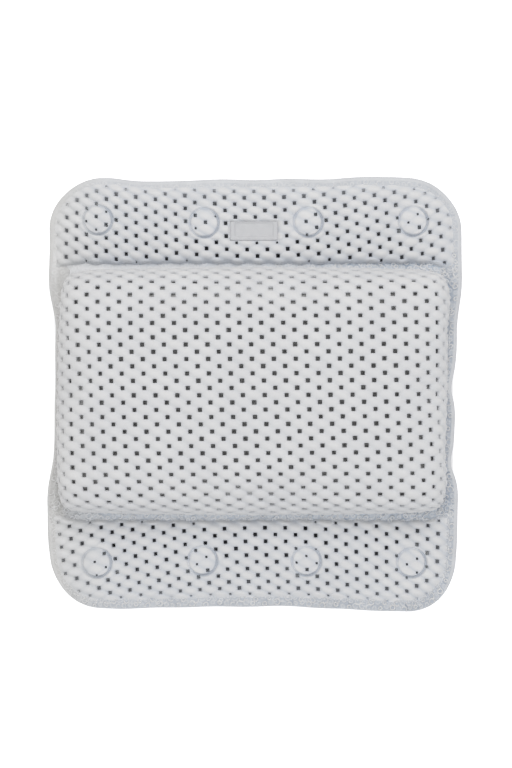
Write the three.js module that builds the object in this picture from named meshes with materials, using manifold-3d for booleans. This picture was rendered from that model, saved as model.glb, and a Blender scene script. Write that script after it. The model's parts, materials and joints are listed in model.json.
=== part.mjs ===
// Bath pillow: a filled cushion welded between two flat net flaps that carry suction cups.
// Millimetres. The pillow lies on its back: +Z out of the front, +Y towards the upper flap, +X to the
// right, with the origin on the surface that it lies on, under the middle of its outline.

import * as THREE from 'three';
import Module from 'manifold-3d';
import { mergeGeometries, mergeVertices } from 'three/addons/utils/BufferGeometryUtils.js';

// Overall plan
const pillowWidth = 320;
const pillowLength = 336;
const cornerRadius = 40;

// Gap kept between neighbouring pieces, and between the filling and the skins round it
const clearance = 0.3;
const fillingClearance = 0.7;

// Foamed net of the flaps: staggered square holes, two to each cell of the pattern
const netThickness = 4;
const holePitchX = 15.5;
const holePitchY = 10;
const holeRowBow = 0.00065;
const holeSize = 2.8;
const holeEdgeMargin = 4.2;

// Pressed bands round the outline and along the two folds
const edgeBandWidth = 8;
const edgeBandThickness = 2.4;
const edgeBandChamfer = 0.6;
const seamBandWidth = 6.5;
const seamBandThickness = 2;

// Filled cushion
const cushionLength = 186;
const cushionShift = 1.75;
const cushionRise = 36;
const cushionCrown = 4;
const cushionCorner = 4;
const cushionCornerGrowth = 0.9;
const cushionRoll = 28;
const cushionRollSquareness = 2.6;
const sideDrawIn = 5;
const drawInFull = 46;
const drawInNone = 84;
const coverThickness = 4;
const backRoll = 45;
const backRollSquareness = 2;
const backThickness = 3.5;

// Suction cups
const cupHeight = 12;
const cupMouthDiameter = 36;
const cupHollowDepth = 6.5;
const cupRimWidth = 1.6;
const cupLipThickness = 0.9;
const cupShoulderHeight = 8.6;
const cupNeckDiameter = 13;
const cupBaseDiameter = 27;
const cupBaseThickness = 1.6;
const cupPitch = 80.5;
const cupsPerFlap = 4;
const cupRowFromFold = 32.6;

// Ring pressed into the net over each cup
const ringDiameter = 24;
const ringWidth = 1.4;
const ringDepth = 0.9;

// Bare plate in the upper flap
const plateWidth = 37;
const plateHeight = 15;
const plateThickness = 1.6;
const plateFrameSide = 3.7;
const plateFrameTop = 1.3;
const plateFrameBottom = 3.1;
const plateFrameDepth = 0.5;
const plateFromFold = 25.5;

// Facets
const cornerFacets = 8;
const cupFacets = 18;
const ringFacets = 16;
const cushionCornerFacets = 4;
const cushionSideFacets = 6;
const cushionWallSteps = 6;
const crownRings = [0.25, 0.5, 0.75];
const backRings = [0.5];
const hollowRings = [0, 0.35, 0.65, 0.85, 1];
const bellRings = [0, 0.3, 0.65, 1];
const mergeDistance = 1e-4;

// Heights and lines that the pieces share
const netBottom = cupHeight + clearance;
const netTop = netBottom + netThickness;
const foldHeight = netBottom + netThickness / 2;
const seamInner = cushionLength / 2 + clearance;
const seamFoldRadius = seamBandThickness / 2;
const foldFromCushion = seamInner + seamBandWidth - seamFoldRadius;
const flapFar = pillowLength / 2 - edgeBandWidth - clearance;
const flapHalfWidth = pillowWidth / 2 - edgeBandWidth - clearance;
const cupColumns = Array.from({ length: cupsPerFlap }, (_, i) => (i - (cupsPerFlap - 1) / 2) * cupPitch);

const wasm = await Module();
wasm.setup();

// Closed geometry as a solid for cutting.
function solidFrom(geometry) {
  const bare = geometry.clone();
  bare.deleteAttribute('normal');
  bare.deleteAttribute('uv');
  const merged = mergeVertices(bare, mergeDistance);
  return new wasm.Manifold(new wasm.Mesh({
    numProp: 3,
    vertProperties: new Float32Array(merged.attributes.position.array),
    triVerts: new Uint32Array(merged.index.array),
  }));
}

// Solid as a geometry with flat shading.
function geometryFrom(solid) {
  const mesh = solid.getMesh();
  const geometry = new THREE.BufferGeometry();
  geometry.setAttribute('position', new THREE.BufferAttribute(mesh.vertProperties, 3));
  geometry.setIndex(new THREE.BufferAttribute(mesh.triVerts, 1));
  geometry.computeVertexNormals();
  return geometry;
}

function subtract(geometry, cutter) {
  return geometryFrom(solidFrom(geometry).subtract(solidFrom(cutter)));
}

// Flat shape in plan, given a thickness about a middle height.
function plateOf(shape, middle, thickness, chamfer = 0) {
  const geometry = new THREE.ExtrudeGeometry(shape, {
    depth: thickness - 2 * chamfer,
    curveSegments: cornerFacets,
    bevelEnabled: chamfer > 0,
    bevelThickness: chamfer,
    bevelSize: chamfer,
    bevelOffset: -chamfer,
    bevelSegments: 1,
  });
  return geometry.translate(0, 0, middle - thickness / 2 + chamfer);
}

// Profile of radius and height, turned about the vertical axis.
function turned(points, facets) {
  const profile = points.map(([radius, height]) => new THREE.Vector2(radius, height));
  return new THREE.LatheGeometry(profile, facets).rotateX(Math.PI / 2);
}

// Lines that the pieces of a flap are set out from, by the fold that it turns about.
function flapLines(fold, hasPlate) {
  return {
    near: fold + seamFoldRadius + clearance,
    cupRow: fold + cupRowFromFold,
    plateRow: fold + plateFromFold,
    hasPlate,
  };
}

// Outline of the net of one flap: straight along the fold, round at the two free corners.
function flapOutline({ near }) {
  const radius = cornerRadius - edgeBandWidth - clearance;
  const cornerX = flapHalfWidth - radius;
  const cornerY = flapFar - radius;
  const shape = new THREE.Shape();
  shape.moveTo(-flapHalfWidth, near);
  shape.lineTo(flapHalfWidth, near);
  shape.lineTo(flapHalfWidth, cornerY);
  shape.absarc(cornerX, cornerY, radius, 0, Math.PI / 2);
  shape.lineTo(-cornerX, flapFar);
  shape.absarc(-cornerX, cornerY, radius, Math.PI / 2, Math.PI);
  shape.closePath();
  return shape;
}

// Distance from a point to the edges of the flap net, positive inside.
function insideFlap(x, y, { near }) {
  const radius = cornerRadius - edgeBandWidth - clearance;
  const dx = Math.abs(x) - (flapHalfWidth - radius);
  const dy = y - (flapFar - radius);
  const outer = radius - Math.hypot(Math.max(dx, 0), Math.max(dy, 0)) - Math.min(Math.max(dx, dy), 0);
  return Math.min(outer, y - near);
}

// True where a hole of the net stays clear of the flap's edges, the cup rings and the plate.
function holeFits(x, y, lines) {
  const reach = holeSize * Math.SQRT1_2;
  const ringRadius = ringDiameter / 2;
  const clearOfRings = cupColumns.every((column) => {
    const away = Math.hypot(x - column, y - lines.cupRow);
    return Math.abs(away - ringRadius) > ringWidth / 2 + reach + clearance;
  });
  const clearOfPlate = !lines.hasPlate
    || Math.abs(x) > plateWidth / 2 + 2 * clearance + reach
    || Math.abs(y - lines.plateRow) > plateHeight / 2 + 2 * clearance + reach;
  return insideFlap(x, y, lines) > holeEdgeMargin && clearOfRings && clearOfPlate;
}

// Centres of the staggered holes, counted from the middle of the flap in rows that bow towards the fold.
function holeCentres(lines) {
  const middle = (lines.near + flapFar) / 2;
  const columns = Math.ceil(pillowWidth / holePitchX);
  const rows = Math.ceil(2 * (flapFar - lines.near) / holePitchY);
  const centres = [];
  for (let row = -rows; row <= rows; row += 1) {
    for (let column = -columns; column <= columns; column += 1) {
      const stagger = row % 2 === 0 ? 0 : holePitchX / 2;
      const x = column * holePitchX + stagger;
      const y = middle + row * holePitchY / 2 + holeRowBow * x ** 2;
      if (holeFits(x, y, lines)) centres.push([x, y]);
    }
  }
  return centres;
}

function holeCutter(x, y) {
  return new THREE.BoxGeometry(holeSize, holeSize, 2 * netThickness).translate(x, y, foldHeight);
}

// Groove that the cup weld presses into the front of the net.
function ringCutter(x, { cupRow }) {
  const inner = (ringDiameter - ringWidth) / 2;
  const outer = (ringDiameter + ringWidth) / 2;
  const floor = netTop - ringDepth;
  const above = netTop + ringDepth;
  const profile = [[inner, floor], [outer, floor], [outer, above], [inner, above], [inner, floor]];
  return turned(profile, ringFacets).translate(x, cupRow, 0);
}

function plateRecess({ plateRow }) {
  const width = plateWidth + 2 * clearance;
  const height = plateHeight + 2 * clearance;
  const depth = plateThickness + clearance;
  return new THREE.BoxGeometry(width, height, 2 * depth).translate(0, plateRow, netTop);
}

function flapNet(lines) {
  const net = plateOf(flapOutline(lines), foldHeight, netThickness);
  const holes = holeCentres(lines).map(([x, y]) => holeCutter(x, y));
  const rings = cupColumns.map((x) => ringCutter(x, lines));
  const recesses = lines.hasPlate ? [plateRecess(lines)] : [];
  return subtract(net, mergeGeometries([...holes, ...rings, ...recesses]));
}

// Pressed band round the three free sides of a flap.
function flapEdgeBand({ near }) {
  const outer = pillowWidth / 2;
  const inner = outer - edgeBandWidth;
  const cornerX = outer - cornerRadius;
  const cornerY = pillowLength / 2 - cornerRadius;
  const innerRadius = cornerRadius - edgeBandWidth;
  const shape = new THREE.Shape();
  shape.moveTo(outer, near);
  shape.lineTo(outer, cornerY);
  shape.absarc(cornerX, cornerY, cornerRadius, 0, Math.PI / 2);
  shape.lineTo(-cornerX, pillowLength / 2);
  shape.absarc(-cornerX, cornerY, cornerRadius, Math.PI / 2, Math.PI);
  shape.lineTo(-outer, near);
  shape.lineTo(-inner, near);
  shape.lineTo(-inner, cornerY);
  shape.absarc(-cornerX, cornerY, innerRadius, Math.PI, Math.PI / 2, true);
  shape.lineTo(cornerX, cornerY + innerRadius);
  shape.absarc(cornerX, cornerY, innerRadius, Math.PI / 2, 0, true);
  shape.lineTo(inner, near);
  shape.closePath();
  return plateOf(shape, foldHeight, edgeBandThickness, edgeBandChamfer);
}

// How far the cushion's sides are drawn in at a distance from its middle line.
function drawnIn(y) {
  return sideDrawIn * (1 - THREE.MathUtils.smoothstep(Math.abs(y), drawInFull, drawInNone));
}

// Pressed band along one side of the cushion, drawn in between the two folds.
function sideEdgeBand(side) {
  const half = cushionLength / 2;
  const straight = half - cushionCorner;
  const steps = Array.from({ length: cushionSideFacets + 1 }, (_, i) => 2 * i / cushionSideFacets - 1);
  const stations = [-half, ...steps.map((share) => share * straight), half];
  const line = (reach) => stations.map((y) => new THREE.Vector2(side * (reach - drawnIn(y)), y));
  const outer = line(pillowWidth / 2);
  const inner = line(pillowWidth / 2 - edgeBandWidth).reverse();
  return plateOf(new THREE.Shape([...outer, ...inner]), foldHeight, edgeBandThickness, edgeBandChamfer);
}

// Pressed band between the cushion and a flap, round along the fold line.
function seamBand() {
  const section = new THREE.Shape();
  section.moveTo(seamInner, -seamFoldRadius);
  section.lineTo(foldFromCushion, -seamFoldRadius);
  section.absarc(foldFromCushion, 0, seamFoldRadius, -Math.PI / 2, Math.PI / 2);
  section.lineTo(seamInner, seamFoldRadius);
  section.closePath();
  const bar = new THREE.ExtrudeGeometry(section, {
    depth: pillowWidth,
    curveSegments: cornerFacets,
    bevelEnabled: false,
  });
  const alongX = new THREE.Matrix4().makeBasis(
    new THREE.Vector3(0, 1, 0),
    new THREE.Vector3(0, 0, 1),
    new THREE.Vector3(1, 0, 0),
  );
  return bar.applyMatrix4(alongX).translate(-pillowWidth / 2, 0, foldHeight);
}

// Points round the cushion at one height: the foot outline drawn inwards by inset, its corners growing
// rounder on the way up, its long sides drawn in between the folds, all shrunk to the middle by scale.
function cushionRing({ inset, height, scale = 1 }) {
  const foot = pillowWidth / 2 - edgeBandWidth - clearance;
  const halfX = foot - inset;
  const halfY = cushionLength / 2 - inset;
  const radius = cushionCorner + cushionCornerGrowth * inset;
  const quarters = [[1, 1], [-1, 1], [-1, -1], [1, -1]];
  const corners = quarters.map(([sideX, sideY], i) => new THREE.ArcCurve(
    sideX * (halfX - radius),
    sideY * (halfY - radius),
    radius,
    (i * Math.PI) / 2,
    ((i + 1) * Math.PI) / 2,
  ));
  const points = corners.flatMap((corner, i) => {
    const next = corners[(i + 1) % corners.length];
    const side = new THREE.LineCurve(corner.getPoint(1), next.getPoint(0));
    return [...corner.getPoints(cushionCornerFacets), ...side.getPoints(cushionSideFacets).slice(1, -1)];
  });
  return points.map(({ x, y }) => {
    const drawn = 1 - drawnIn(y) / foot;
    return new THREE.Vector3(x * drawn * scale, y * scale, height);
  });
}

// Closed skin through a stack of rings, with a point at the middle of its first and last ring.
function lofted(rings, firstHeight, lastHeight) {
  const count = rings[0].length;
  const points = [new THREE.Vector3(0, 0, firstHeight), ...rings.flat(), new THREE.Vector3(0, 0, lastHeight)];
  const at = (ring, i) => 1 + ring * count + (i % count);
  const last = points.length - 1;
  const faces = [];
  for (let i = 0; i < count; i += 1) {
    faces.push(0, at(0, i), at(0, i + 1));
    for (let ring = 0; ring + 1 < rings.length; ring += 1) {
      faces.push(at(ring, i), at(ring + 1, i), at(ring + 1, i + 1));
      faces.push(at(ring, i), at(ring + 1, i + 1), at(ring, i + 1));
    }
    faces.push(at(rings.length - 1, i), last, at(rings.length - 1, i + 1));
  }
  const geometry = new THREE.BufferGeometry().setFromPoints(points);
  geometry.setIndex(faces);
  geometry.computeVertexNormals();
  return geometry;
}

// Rings of a rounded wall from its brim at one height down or up to its foot at another.
function wallRings({ depth, roll, squareness, brim, foot }) {
  return Array.from({ length: cushionWallSteps + 1 }, (_, i) => {
    const angle = (Math.PI / 2) * (1 - i / cushionWallSteps);
    const across = 1 - Math.abs(Math.cos(angle)) ** (2 / squareness);
    const up = Math.sin(angle) ** (2 / squareness);
    return { inset: depth + (roll - depth) * across, height: foot + (brim - foot) * up };
  });
}

// Rings of a crowned front at a depth under the outer skin, listed from the middle down to the foot.
function frontRings(depth, foot) {
  const top = foldHeight + cushionRise - depth;
  const crown = crownRings.map((scale) => ({
    inset: cushionRoll,
    height: top + cushionCrown * (1 - scale ** 2) ** 2,
    scale,
  }));
  const wall = wallRings({ depth, roll: cushionRoll, squareness: cushionRollSquareness, brim: top, foot });
  return [...crown, ...wall].map(cushionRing);
}

// Rings of the shallow back at a depth above the outer skin, listed from the middle up to the rim.
function trayRings(depth, rim) {
  const flat = backRings.map((scale) => ({ inset: backRoll, height: depth, scale }));
  const wall = wallRings({ depth, roll: backRoll, squareness: backRollSquareness, brim: depth, foot: rim });
  return [...flat, ...wall].map(cushionRing);
}

function frontCover() {
  const foot = foldHeight + clearance / 2;
  const outer = frontRings(0, foot);
  const inner = frontRings(coverThickness, foot).reverse();
  const apex = foldHeight + cushionRise + cushionCrown;
  return lofted([...outer, ...inner], apex, apex - coverThickness);
}

function backPanel() {
  const rim = foldHeight - clearance / 2;
  const inner = trayRings(backThickness, rim);
  const outer = trayRings(0, rim).reverse();
  return lofted([...inner, ...outer], backThickness, 0);
}

function foamCore() {
  const frontDepth = coverThickness + fillingClearance;
  const backDepth = backThickness + fillingClearance;
  const front = frontRings(frontDepth, foldHeight + clearance / 2);
  const back = trayRings(backDepth, foldHeight - clearance / 2).reverse();
  const apex = foldHeight + cushionRise + cushionCrown - frontDepth;
  return lofted([...front, ...back], apex, backDepth);
}

// One-piece moulded cup: hollow bell with a flat rim, a neck and a flat base that the net is welded to.
function suctionCup() {
  const mouth = cupMouthDiameter / 2;
  const hollow = mouth - cupRimWidth;
  const neck = cupNeckDiameter / 2;
  const base = cupBaseDiameter / 2;
  const underBase = cupHeight - cupBaseThickness;
  const inside = hollowRings.map((share) => [hollow * share, cupHollowDepth * (1 - share ** 2)]);
  const outside = bellRings.map((share) => [
    mouth + (neck - mouth) * share,
    cupLipThickness + (cupShoulderHeight - cupLipThickness) * Math.sin((Math.PI / 2) * share),
  ]);
  const stem = [[neck, underBase], [base, underBase], [base, cupHeight], [0, cupHeight]];
  return turned([...inside, [mouth, 0], ...outside, ...stem], cupFacets);
}

// Flat plate with a raised frame, wider below than above, round a plain field.
function barePlate({ plateRow }) {
  const plate = new THREE.BoxGeometry(plateWidth, plateHeight, plateThickness);
  const field = new THREE.BoxGeometry(
    plateWidth - 2 * plateFrameSide,
    plateHeight - plateFrameTop - plateFrameBottom,
    2 * plateFrameDepth,
  );
  field.translate(0, (plateFrameBottom - plateFrameTop) / 2, plateThickness / 2);
  return subtract(plate, field).translate(0, plateRow, netTop - plateThickness / 2);
}

const finishes = {
  net: { color: 0xdcdde0, roughness: 0.62, metalness: 0 },
  band: { color: 0xcfd1d5, roughness: 0.5, metalness: 0 },
  plate: { color: 0xc5c7ca, roughness: 0.45, metalness: 0 },
  cup: { color: 0xdfe4e6, roughness: 0.2, metalness: 0 },
  filling: { color: 0xb4b4b1, roughness: 0.95, metalness: 0 },
};

function piece(name, geometry, finish) {
  const mesh = new THREE.Mesh(geometry, new THREE.MeshStandardMaterial(finishes[finish]));
  mesh.name = name;
  return mesh;
}

// One flap on the +Y side: net, edge band, cups in the order given and, where it has one, the plate.
function flap(name, columns, lines) {
  const group = new THREE.Group();
  group.add(piece(`${name}_flap_net`, flapNet(lines), 'net'));
  group.add(piece(`${name}_edge_band`, flapEdgeBand(lines), 'band'));
  if (lines.hasPlate) group.add(piece('bare_plate', barePlate(lines), 'plate'));
  columns.forEach((x, i) => {
    const cup = piece(`${name}_suction_cup_${i + 1}`, suctionCup(), 'cup');
    cup.position.set(x, lines.cupRow, 0);
    group.add(cup);
  });
  return group;
}

const upperFlap = flap('upper', cupColumns, flapLines(foldFromCushion + cushionShift, true));
const lowerFlap = flap('lower', cupColumns.toReversed(), flapLines(foldFromCushion - cushionShift, false));
lowerFlap.rotation.z = Math.PI;

const upperSeam = piece('upper_seam_band', seamBand(), 'band');
const lowerSeam = piece('lower_seam_band', seamBand(), 'band');
lowerSeam.rotation.z = Math.PI;

const cushion = new THREE.Group();
cushion.add(piece('cushion_front_cover', frontCover(), 'net'));
cushion.add(piece('cushion_back_panel', backPanel(), 'net'));
cushion.add(piece('foam_core', foamCore(), 'filling'));
cushion.add(piece('left_edge_band', sideEdgeBand(-1), 'band'));
cushion.add(piece('right_edge_band', sideEdgeBand(1), 'band'));
cushion.add(upperSeam, lowerSeam);
cushion.position.y = cushionShift;

const pillow = new THREE.Group();
pillow.add(cushion, upperFlap, lowerFlap);

export default pillow;
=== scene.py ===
"""Bath pillow of welded foam net: the filled cushion, its two flaps with suction cups, and the studio."""

import json
import logging
import math
from abc import ABC, abstractmethod
from collections.abc import Iterable
from dataclasses import dataclass, field
from enum import Enum
from typing import Any, ClassVar

import bmesh
import bpy
import numpy as np
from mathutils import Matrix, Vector


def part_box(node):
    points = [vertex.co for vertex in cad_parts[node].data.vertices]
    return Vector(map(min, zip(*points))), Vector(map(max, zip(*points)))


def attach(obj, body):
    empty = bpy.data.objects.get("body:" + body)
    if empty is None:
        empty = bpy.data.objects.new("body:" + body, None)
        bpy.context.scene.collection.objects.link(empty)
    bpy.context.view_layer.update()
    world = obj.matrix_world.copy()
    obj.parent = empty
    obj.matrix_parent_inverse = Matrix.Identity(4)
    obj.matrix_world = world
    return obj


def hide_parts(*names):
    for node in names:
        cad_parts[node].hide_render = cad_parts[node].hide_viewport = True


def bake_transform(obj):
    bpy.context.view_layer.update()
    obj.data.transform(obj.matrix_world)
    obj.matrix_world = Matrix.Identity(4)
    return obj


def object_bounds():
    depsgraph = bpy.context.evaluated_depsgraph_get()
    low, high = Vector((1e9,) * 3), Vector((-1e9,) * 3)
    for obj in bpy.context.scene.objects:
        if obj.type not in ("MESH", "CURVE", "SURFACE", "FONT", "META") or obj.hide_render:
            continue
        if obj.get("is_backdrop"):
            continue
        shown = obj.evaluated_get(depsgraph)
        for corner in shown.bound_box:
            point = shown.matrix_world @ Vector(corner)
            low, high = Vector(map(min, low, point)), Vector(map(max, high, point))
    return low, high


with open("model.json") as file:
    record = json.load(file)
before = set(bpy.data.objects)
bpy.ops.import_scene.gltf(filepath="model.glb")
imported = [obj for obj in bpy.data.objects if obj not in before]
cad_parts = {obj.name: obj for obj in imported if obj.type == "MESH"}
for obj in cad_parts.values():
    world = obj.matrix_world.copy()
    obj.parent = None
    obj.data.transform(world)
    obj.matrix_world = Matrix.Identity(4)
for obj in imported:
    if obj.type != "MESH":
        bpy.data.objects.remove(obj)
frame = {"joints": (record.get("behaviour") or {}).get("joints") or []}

LOG = logging.getLogger("bath_pillow")
Array = np.ndarray
Mesh = bmesh.types.BMesh
Material = bpy.types.Material
Object = bpy.types.Object
Socket = bpy.types.NodeSocket
Colour = tuple[float, float, float]
Pair = tuple[float, float]

MM = 0.001
MERGE = 0.01 * MM
NOISE_SPAN: Pair = (0.3, 0.7)
# Span across the pillow over which the painted shade in the hollows turns from warm grey to its other
# colour.
LEFT_SHADE_SPAN: Pair = (-0.150, -0.112)


class Slot(Enum):
    """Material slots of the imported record."""

    NET = "foam_net"
    BAND = "weld_band"
    PLATE = "plate_vinyl"
    CUP = "cup_vinyl"
    FILLING = "filling"


class Side(Enum):
    """The two flaps, by the direction in which they leave the cushion."""

    UPPER = 1
    LOWER = -1

    @property
    def label(self) -> str:
        """Word that starts the names of this flap's pieces."""
        return self.name.lower()

    @property
    def body(self) -> str:
        """Name of the body that this flap moves with."""
        return f"{self.label}_flap"


class Edge(Enum):
    """Straight edges of the pillow that have puckers."""

    RIGHT = "right"
    TOP = "top"


def smoothstep(low: float, high: float, value: Array) -> Array:
    """Eases values from 0 at one limit to 1 at another, which may lie below it."""
    share = np.clip((value - low) / (high - low), 0.0, 1.0)
    return share * share * (3.0 - 2.0 * share)


def hump(value: Array, centre: float, width: float) -> Array:
    """Gives a soft hump that is 1 at its centre and fades over a width."""
    return np.exp(-(((value - centre) / width) ** 2))


def round_off(share: Array) -> Array:
    """Rounds an edge by a quarter circle, from 0 at a share of 0 to 1 from a share of 1 on."""
    return np.sqrt(np.clip(1 - (1 - np.minimum(share, 1)) ** 2, 0, 1))


def node_middle(node: str) -> Vector:
    """Finds the middle of a CAD node's box."""
    low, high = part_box(node)
    return (low + high) / 2


def new_grid(columns: int, rows: int, size: float = 1.0) -> Mesh:
    """Starts a mesh from a flat grid that reaches a size to each side of the origin.

    Args:
        columns: Number of cells across.
        rows: Number of cells up.
        size: Reach of the grid.

    Returns:
        The mesh.
    """
    bm = bmesh.new()
    bmesh.ops.create_grid(bm, x_segments=columns, y_segments=rows, size=size)
    return bm


def spots(verts: Iterable[bmesh.types.BMVert]) -> Array:
    """Reads the two plan coordinates of points."""
    return np.array([vert.co[:2] for vert in verts]).T


def move_to(verts: Iterable[bmesh.types.BMVert], places: Array) -> None:
    """Moves points to new places."""
    for vert, place in zip(verts, places):
        vert.co = place


def thicken(bm: Mesh) -> list[bmesh.types.BMVert]:
    """Doubles a sheet into a closed shell and lists the points of its new side."""
    made = bmesh.ops.extrude_face_region(bm, geom=list(bm.faces), use_keep_orig=True)
    return [item for item in made["geom"] if isinstance(item, bmesh.types.BMVert)]


class NodeBoard:
    """Node tree of one material, filled through short calls."""

    def __init__(self, name: str) -> None:
        """Starts an empty tree.

        Args:
            name: Name of the material.
        """
        self.material = bpy.data.materials.new(name)
        self.material.use_nodes = True
        self.tree = self.material.node_tree
        self.tree.nodes.clear()

    def add(self, kind: str, values: dict[str | int, Any] | None = None, **settings: Any) -> bpy.types.Node:
        """Adds a node.

        Args:
            kind: Node type without the ShaderNode prefix.
            values: Socket names or numbers with their values, or with the sockets that feed them.
            settings: Properties of the node.

        Returns:
            The node.
        """
        node = self.tree.nodes.new(f"ShaderNode{kind}")
        for key, value in settings.items():
            setattr(node, key, value)
        for socket, value in (values or {}).items():
            if isinstance(value, Socket):
                self.tree.links.new(value, node.inputs[socket])
            else:
                node.inputs[socket].default_value = value
        return node

    def place(self) -> Socket:
        """Gives the piece's own coordinates."""
        return self.add("TexCoord").outputs["Object"]

    def relief(self) -> Socket:
        """Gives the relief that the shapes store on their points, which sets the painted shade of their
        finishes.
        """
        return self.add("Attribute", attribute_name="relief").outputs["Fac"]

    def maths(self, operation: str, first: Socket, second: Socket) -> Socket:
        """Joins two factors by an operation."""
        return self.add("Math", {0: first, 1: second}, operation=operation).outputs[0]

    def noise(self, scale: float, detail: float = 2.0, roughness: float = 0.5) -> Socket:
        """Adds a noise on object coordinates, with its scale in features per metre."""
        values = {"Vector": self.place(), "Scale": scale, "Detail": detail, "Roughness": roughness}
        return self.add("TexNoise", values).outputs["Fac"]

    def blend(self, share: Any, first: Any, second: Any, mode: str = "MIX") -> Socket:
        """Mixes two colours or sockets by the share of the second."""
        values = {0: share, 6: first, 7: second}
        return self.add("Mix", values, data_type="RGBA", blend_type=mode).outputs[2]

    def colours(self, share: Socket, first: Colour, second: Colour) -> Socket:
        """Mixes two colours by the share of the second."""
        return self.blend(share, (*first, 1.0), (*second, 1.0))

    def span(self, value: Socket, low: float, high: float, source: Pair = (0.0, 1.0)) -> Socket:
        """Maps a source span of a factor onto the span from low to high."""
        values = {"Value": value, "From Min": source[0], "From Max": source[1]}
        return self.add("MapRange", values | {"To Min": low, "To Max": high}).outputs["Result"]

    def bump(self, height: Socket, strength: float, depth: float, over: Socket | None = None) -> Socket:
        """Turns a height into a bumped normal, over another normal where one is given."""
        values = {"Height": height, "Strength": strength, "Distance": depth}
        return self.add("Bump", values if over is None else values | {"Normal": over}).outputs["Normal"]

    def aged(self, left_tone: Colour, rest_tone: Colour) -> Socket:
        """Mixes the colour of the painted shade in the hollows, which is warm grey along the pillow's left
        side.
        """
        across = self.add("SeparateXYZ", {0: self.place()}).outputs["X"]
        return self.colours(self.span(across, 0.0, 1.0, LEFT_SHADE_SPAN), left_tone, rest_tone)

    def greyed(self, tone: Socket, share: Socket) -> Socket:
        """Multiplies a colour by a grey."""
        grey = self.add("CombineColor", {"Red": share, "Green": share, "Blue": share}).outputs["Color"]
        return self.blend(1.0, tone, grey, "MULTIPLY")

    def surface(self, shader: bpy.types.Node) -> Material:
        """Ends the tree at a shader and hands back the material."""
        self.add("OutputMaterial", {"Surface": shader.outputs[0]})
        return self.material

    def solid(self, tone: Socket, rough: Socket, normal: Socket, fixed: dict[str, float]) -> Material:
        """Ends the tree at a solid's shader, some of whose sockets have fixed values."""
        values = {"Base Color": tone, "Roughness": rough, "Normal": normal}
        return self.surface(self.add("BsdfPrincipled", values | fixed))


class Finish(ABC):
    """A look that several pieces share, made into one material."""

    name: str
    slot: Slot | None

    def material(self) -> Material:
        """Gives the material, made on its first use."""
        return bpy.data.materials.get(self.name) or self.make(NodeBoard(self.name))

    @abstractmethod
    def make(self, board: NodeBoard) -> Material:
        """Makes the material on an empty board."""


@dataclass(frozen=True)
class NetFinish(Finish):
    """Matt foamed vinyl: faintly mottled, greyer and bluer in its grooves by painted shade, with fine foam
    pores.
    """

    name: str = "white foam net"
    slot: Slot = Slot.NET
    crest: Colour = (0.720, 0.718, 0.718)
    shade: Colour = (0.685, 0.684, 0.689)
    groove: Colour = (0.505, 0.545, 0.605)
    # Warm grey of the painted groove shade along the left side.
    aged: Colour = (0.495, 0.505, 0.505)
    groove_share: float = 0.75
    relief_span: Pair = (-0.1, 0.8)
    mottle_scale: float = 38.0
    skin_scale: float = 260.0
    pore_scale: float = 1400.0
    roughness: Pair = (0.52, 0.72)

    def make(self, board: NodeBoard) -> Material:
        """Makes the material.

        Args:
            board: Empty board.

        Returns:
            The material.
        """
        mottle = board.span(board.noise(self.mottle_scale, 4.0, 0.6), 0.0, 1.0, (0.35, 0.65))
        tone = board.colours(mottle, self.crest, self.shade)
        # Painted shade: where the stored relief is low, in grooves, pressed rings and the seam's crease,
        # the tone turns to the groove colour.
        depth = board.span(board.relief(), self.groove_share, 0.0, self.relief_span)
        tone = board.blend(depth, tone, board.aged(self.aged, self.groove))
        pores = board.noise(self.pore_scale, 3.0, 0.65)
        skin = board.bump(board.noise(self.skin_scale), 0.25, 0.3 * MM)
        normal = board.bump(pores, 0.18, 0.25 * MM, skin)
        rough = board.span(pores, *self.roughness, NOISE_SPAN)
        return board.solid(tone, rough, normal, {"Specular IOR Level": 0.35})


@dataclass(frozen=True)
class BandFinish(Finish):
    """Pressed vinyl of the welds: smoother than the net, with bluer painted shade in the hollows of its
    rings.
    """

    name: str = "pressed weld band"
    slot: Slot = Slot.BAND
    crest: Colour = (0.722, 0.720, 0.718)
    hollow: Colour = (0.340, 0.388, 0.462)
    # Warm grey of the painted shade in the hollows along the left side.
    aged: Colour = (0.415, 0.410, 0.395)
    relief_span: Pair = (-1.15, 0.6)
    mottle_scale: float = 90.0
    grain_scale: float = 900.0
    roughness: Pair = (0.42, 0.6)

    def make(self, board: NodeBoard) -> Material:
        """Makes the material.

        Args:
            board: Empty board.

        Returns:
            The material.
        """
        # Painted shade: low stored relief, in the ring hollows and where shade is laid on the band, turns
        # the tone to the hollow colour.
        raised = board.span(board.relief(), 0.0, 1.0, self.relief_span)
        tone = board.blend(raised, board.aged(self.aged, self.hollow), (*self.crest, 1.0))
        mottle = board.noise(self.mottle_scale, 3.0, 0.6)
        tone = board.greyed(tone, board.span(mottle, 0.94, 1.03, NOISE_SPAN))
        grain = board.noise(self.grain_scale, 3.0, 0.6)
        rough = board.span(grain, *self.roughness, NOISE_SPAN)
        return board.solid(tone, rough, board.bump(grain, 0.2, 0.2 * MM), {"Specular IOR Level": 0.4})


@dataclass(frozen=True)
class VinylFinish(Finish):
    """Smooth moulded vinyl, clouded between two tones and faintly uneven."""

    name: str
    slot: Slot
    tones: tuple[Colour, Colour]
    cloud_scale: float
    cloud_grit: float
    grain_scale: float
    grain_strength: float
    grain_depth: float
    roughness: Pair
    fixed: dict[str, float]

    def make(self, board: NodeBoard) -> Material:
        """Makes the material.

        Args:
            board: Empty board.

        Returns:
            The material.
        """
        cloud = board.noise(self.cloud_scale, 3.0, self.cloud_grit)
        tone = board.colours(board.span(cloud, 0.0, 1.0, NOISE_SPAN), *self.tones)
        normal = board.bump(board.noise(self.grain_scale), self.grain_strength, self.grain_depth)
        return board.solid(tone, board.span(cloud, *self.roughness, NOISE_SPAN), normal, self.fixed)


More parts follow.
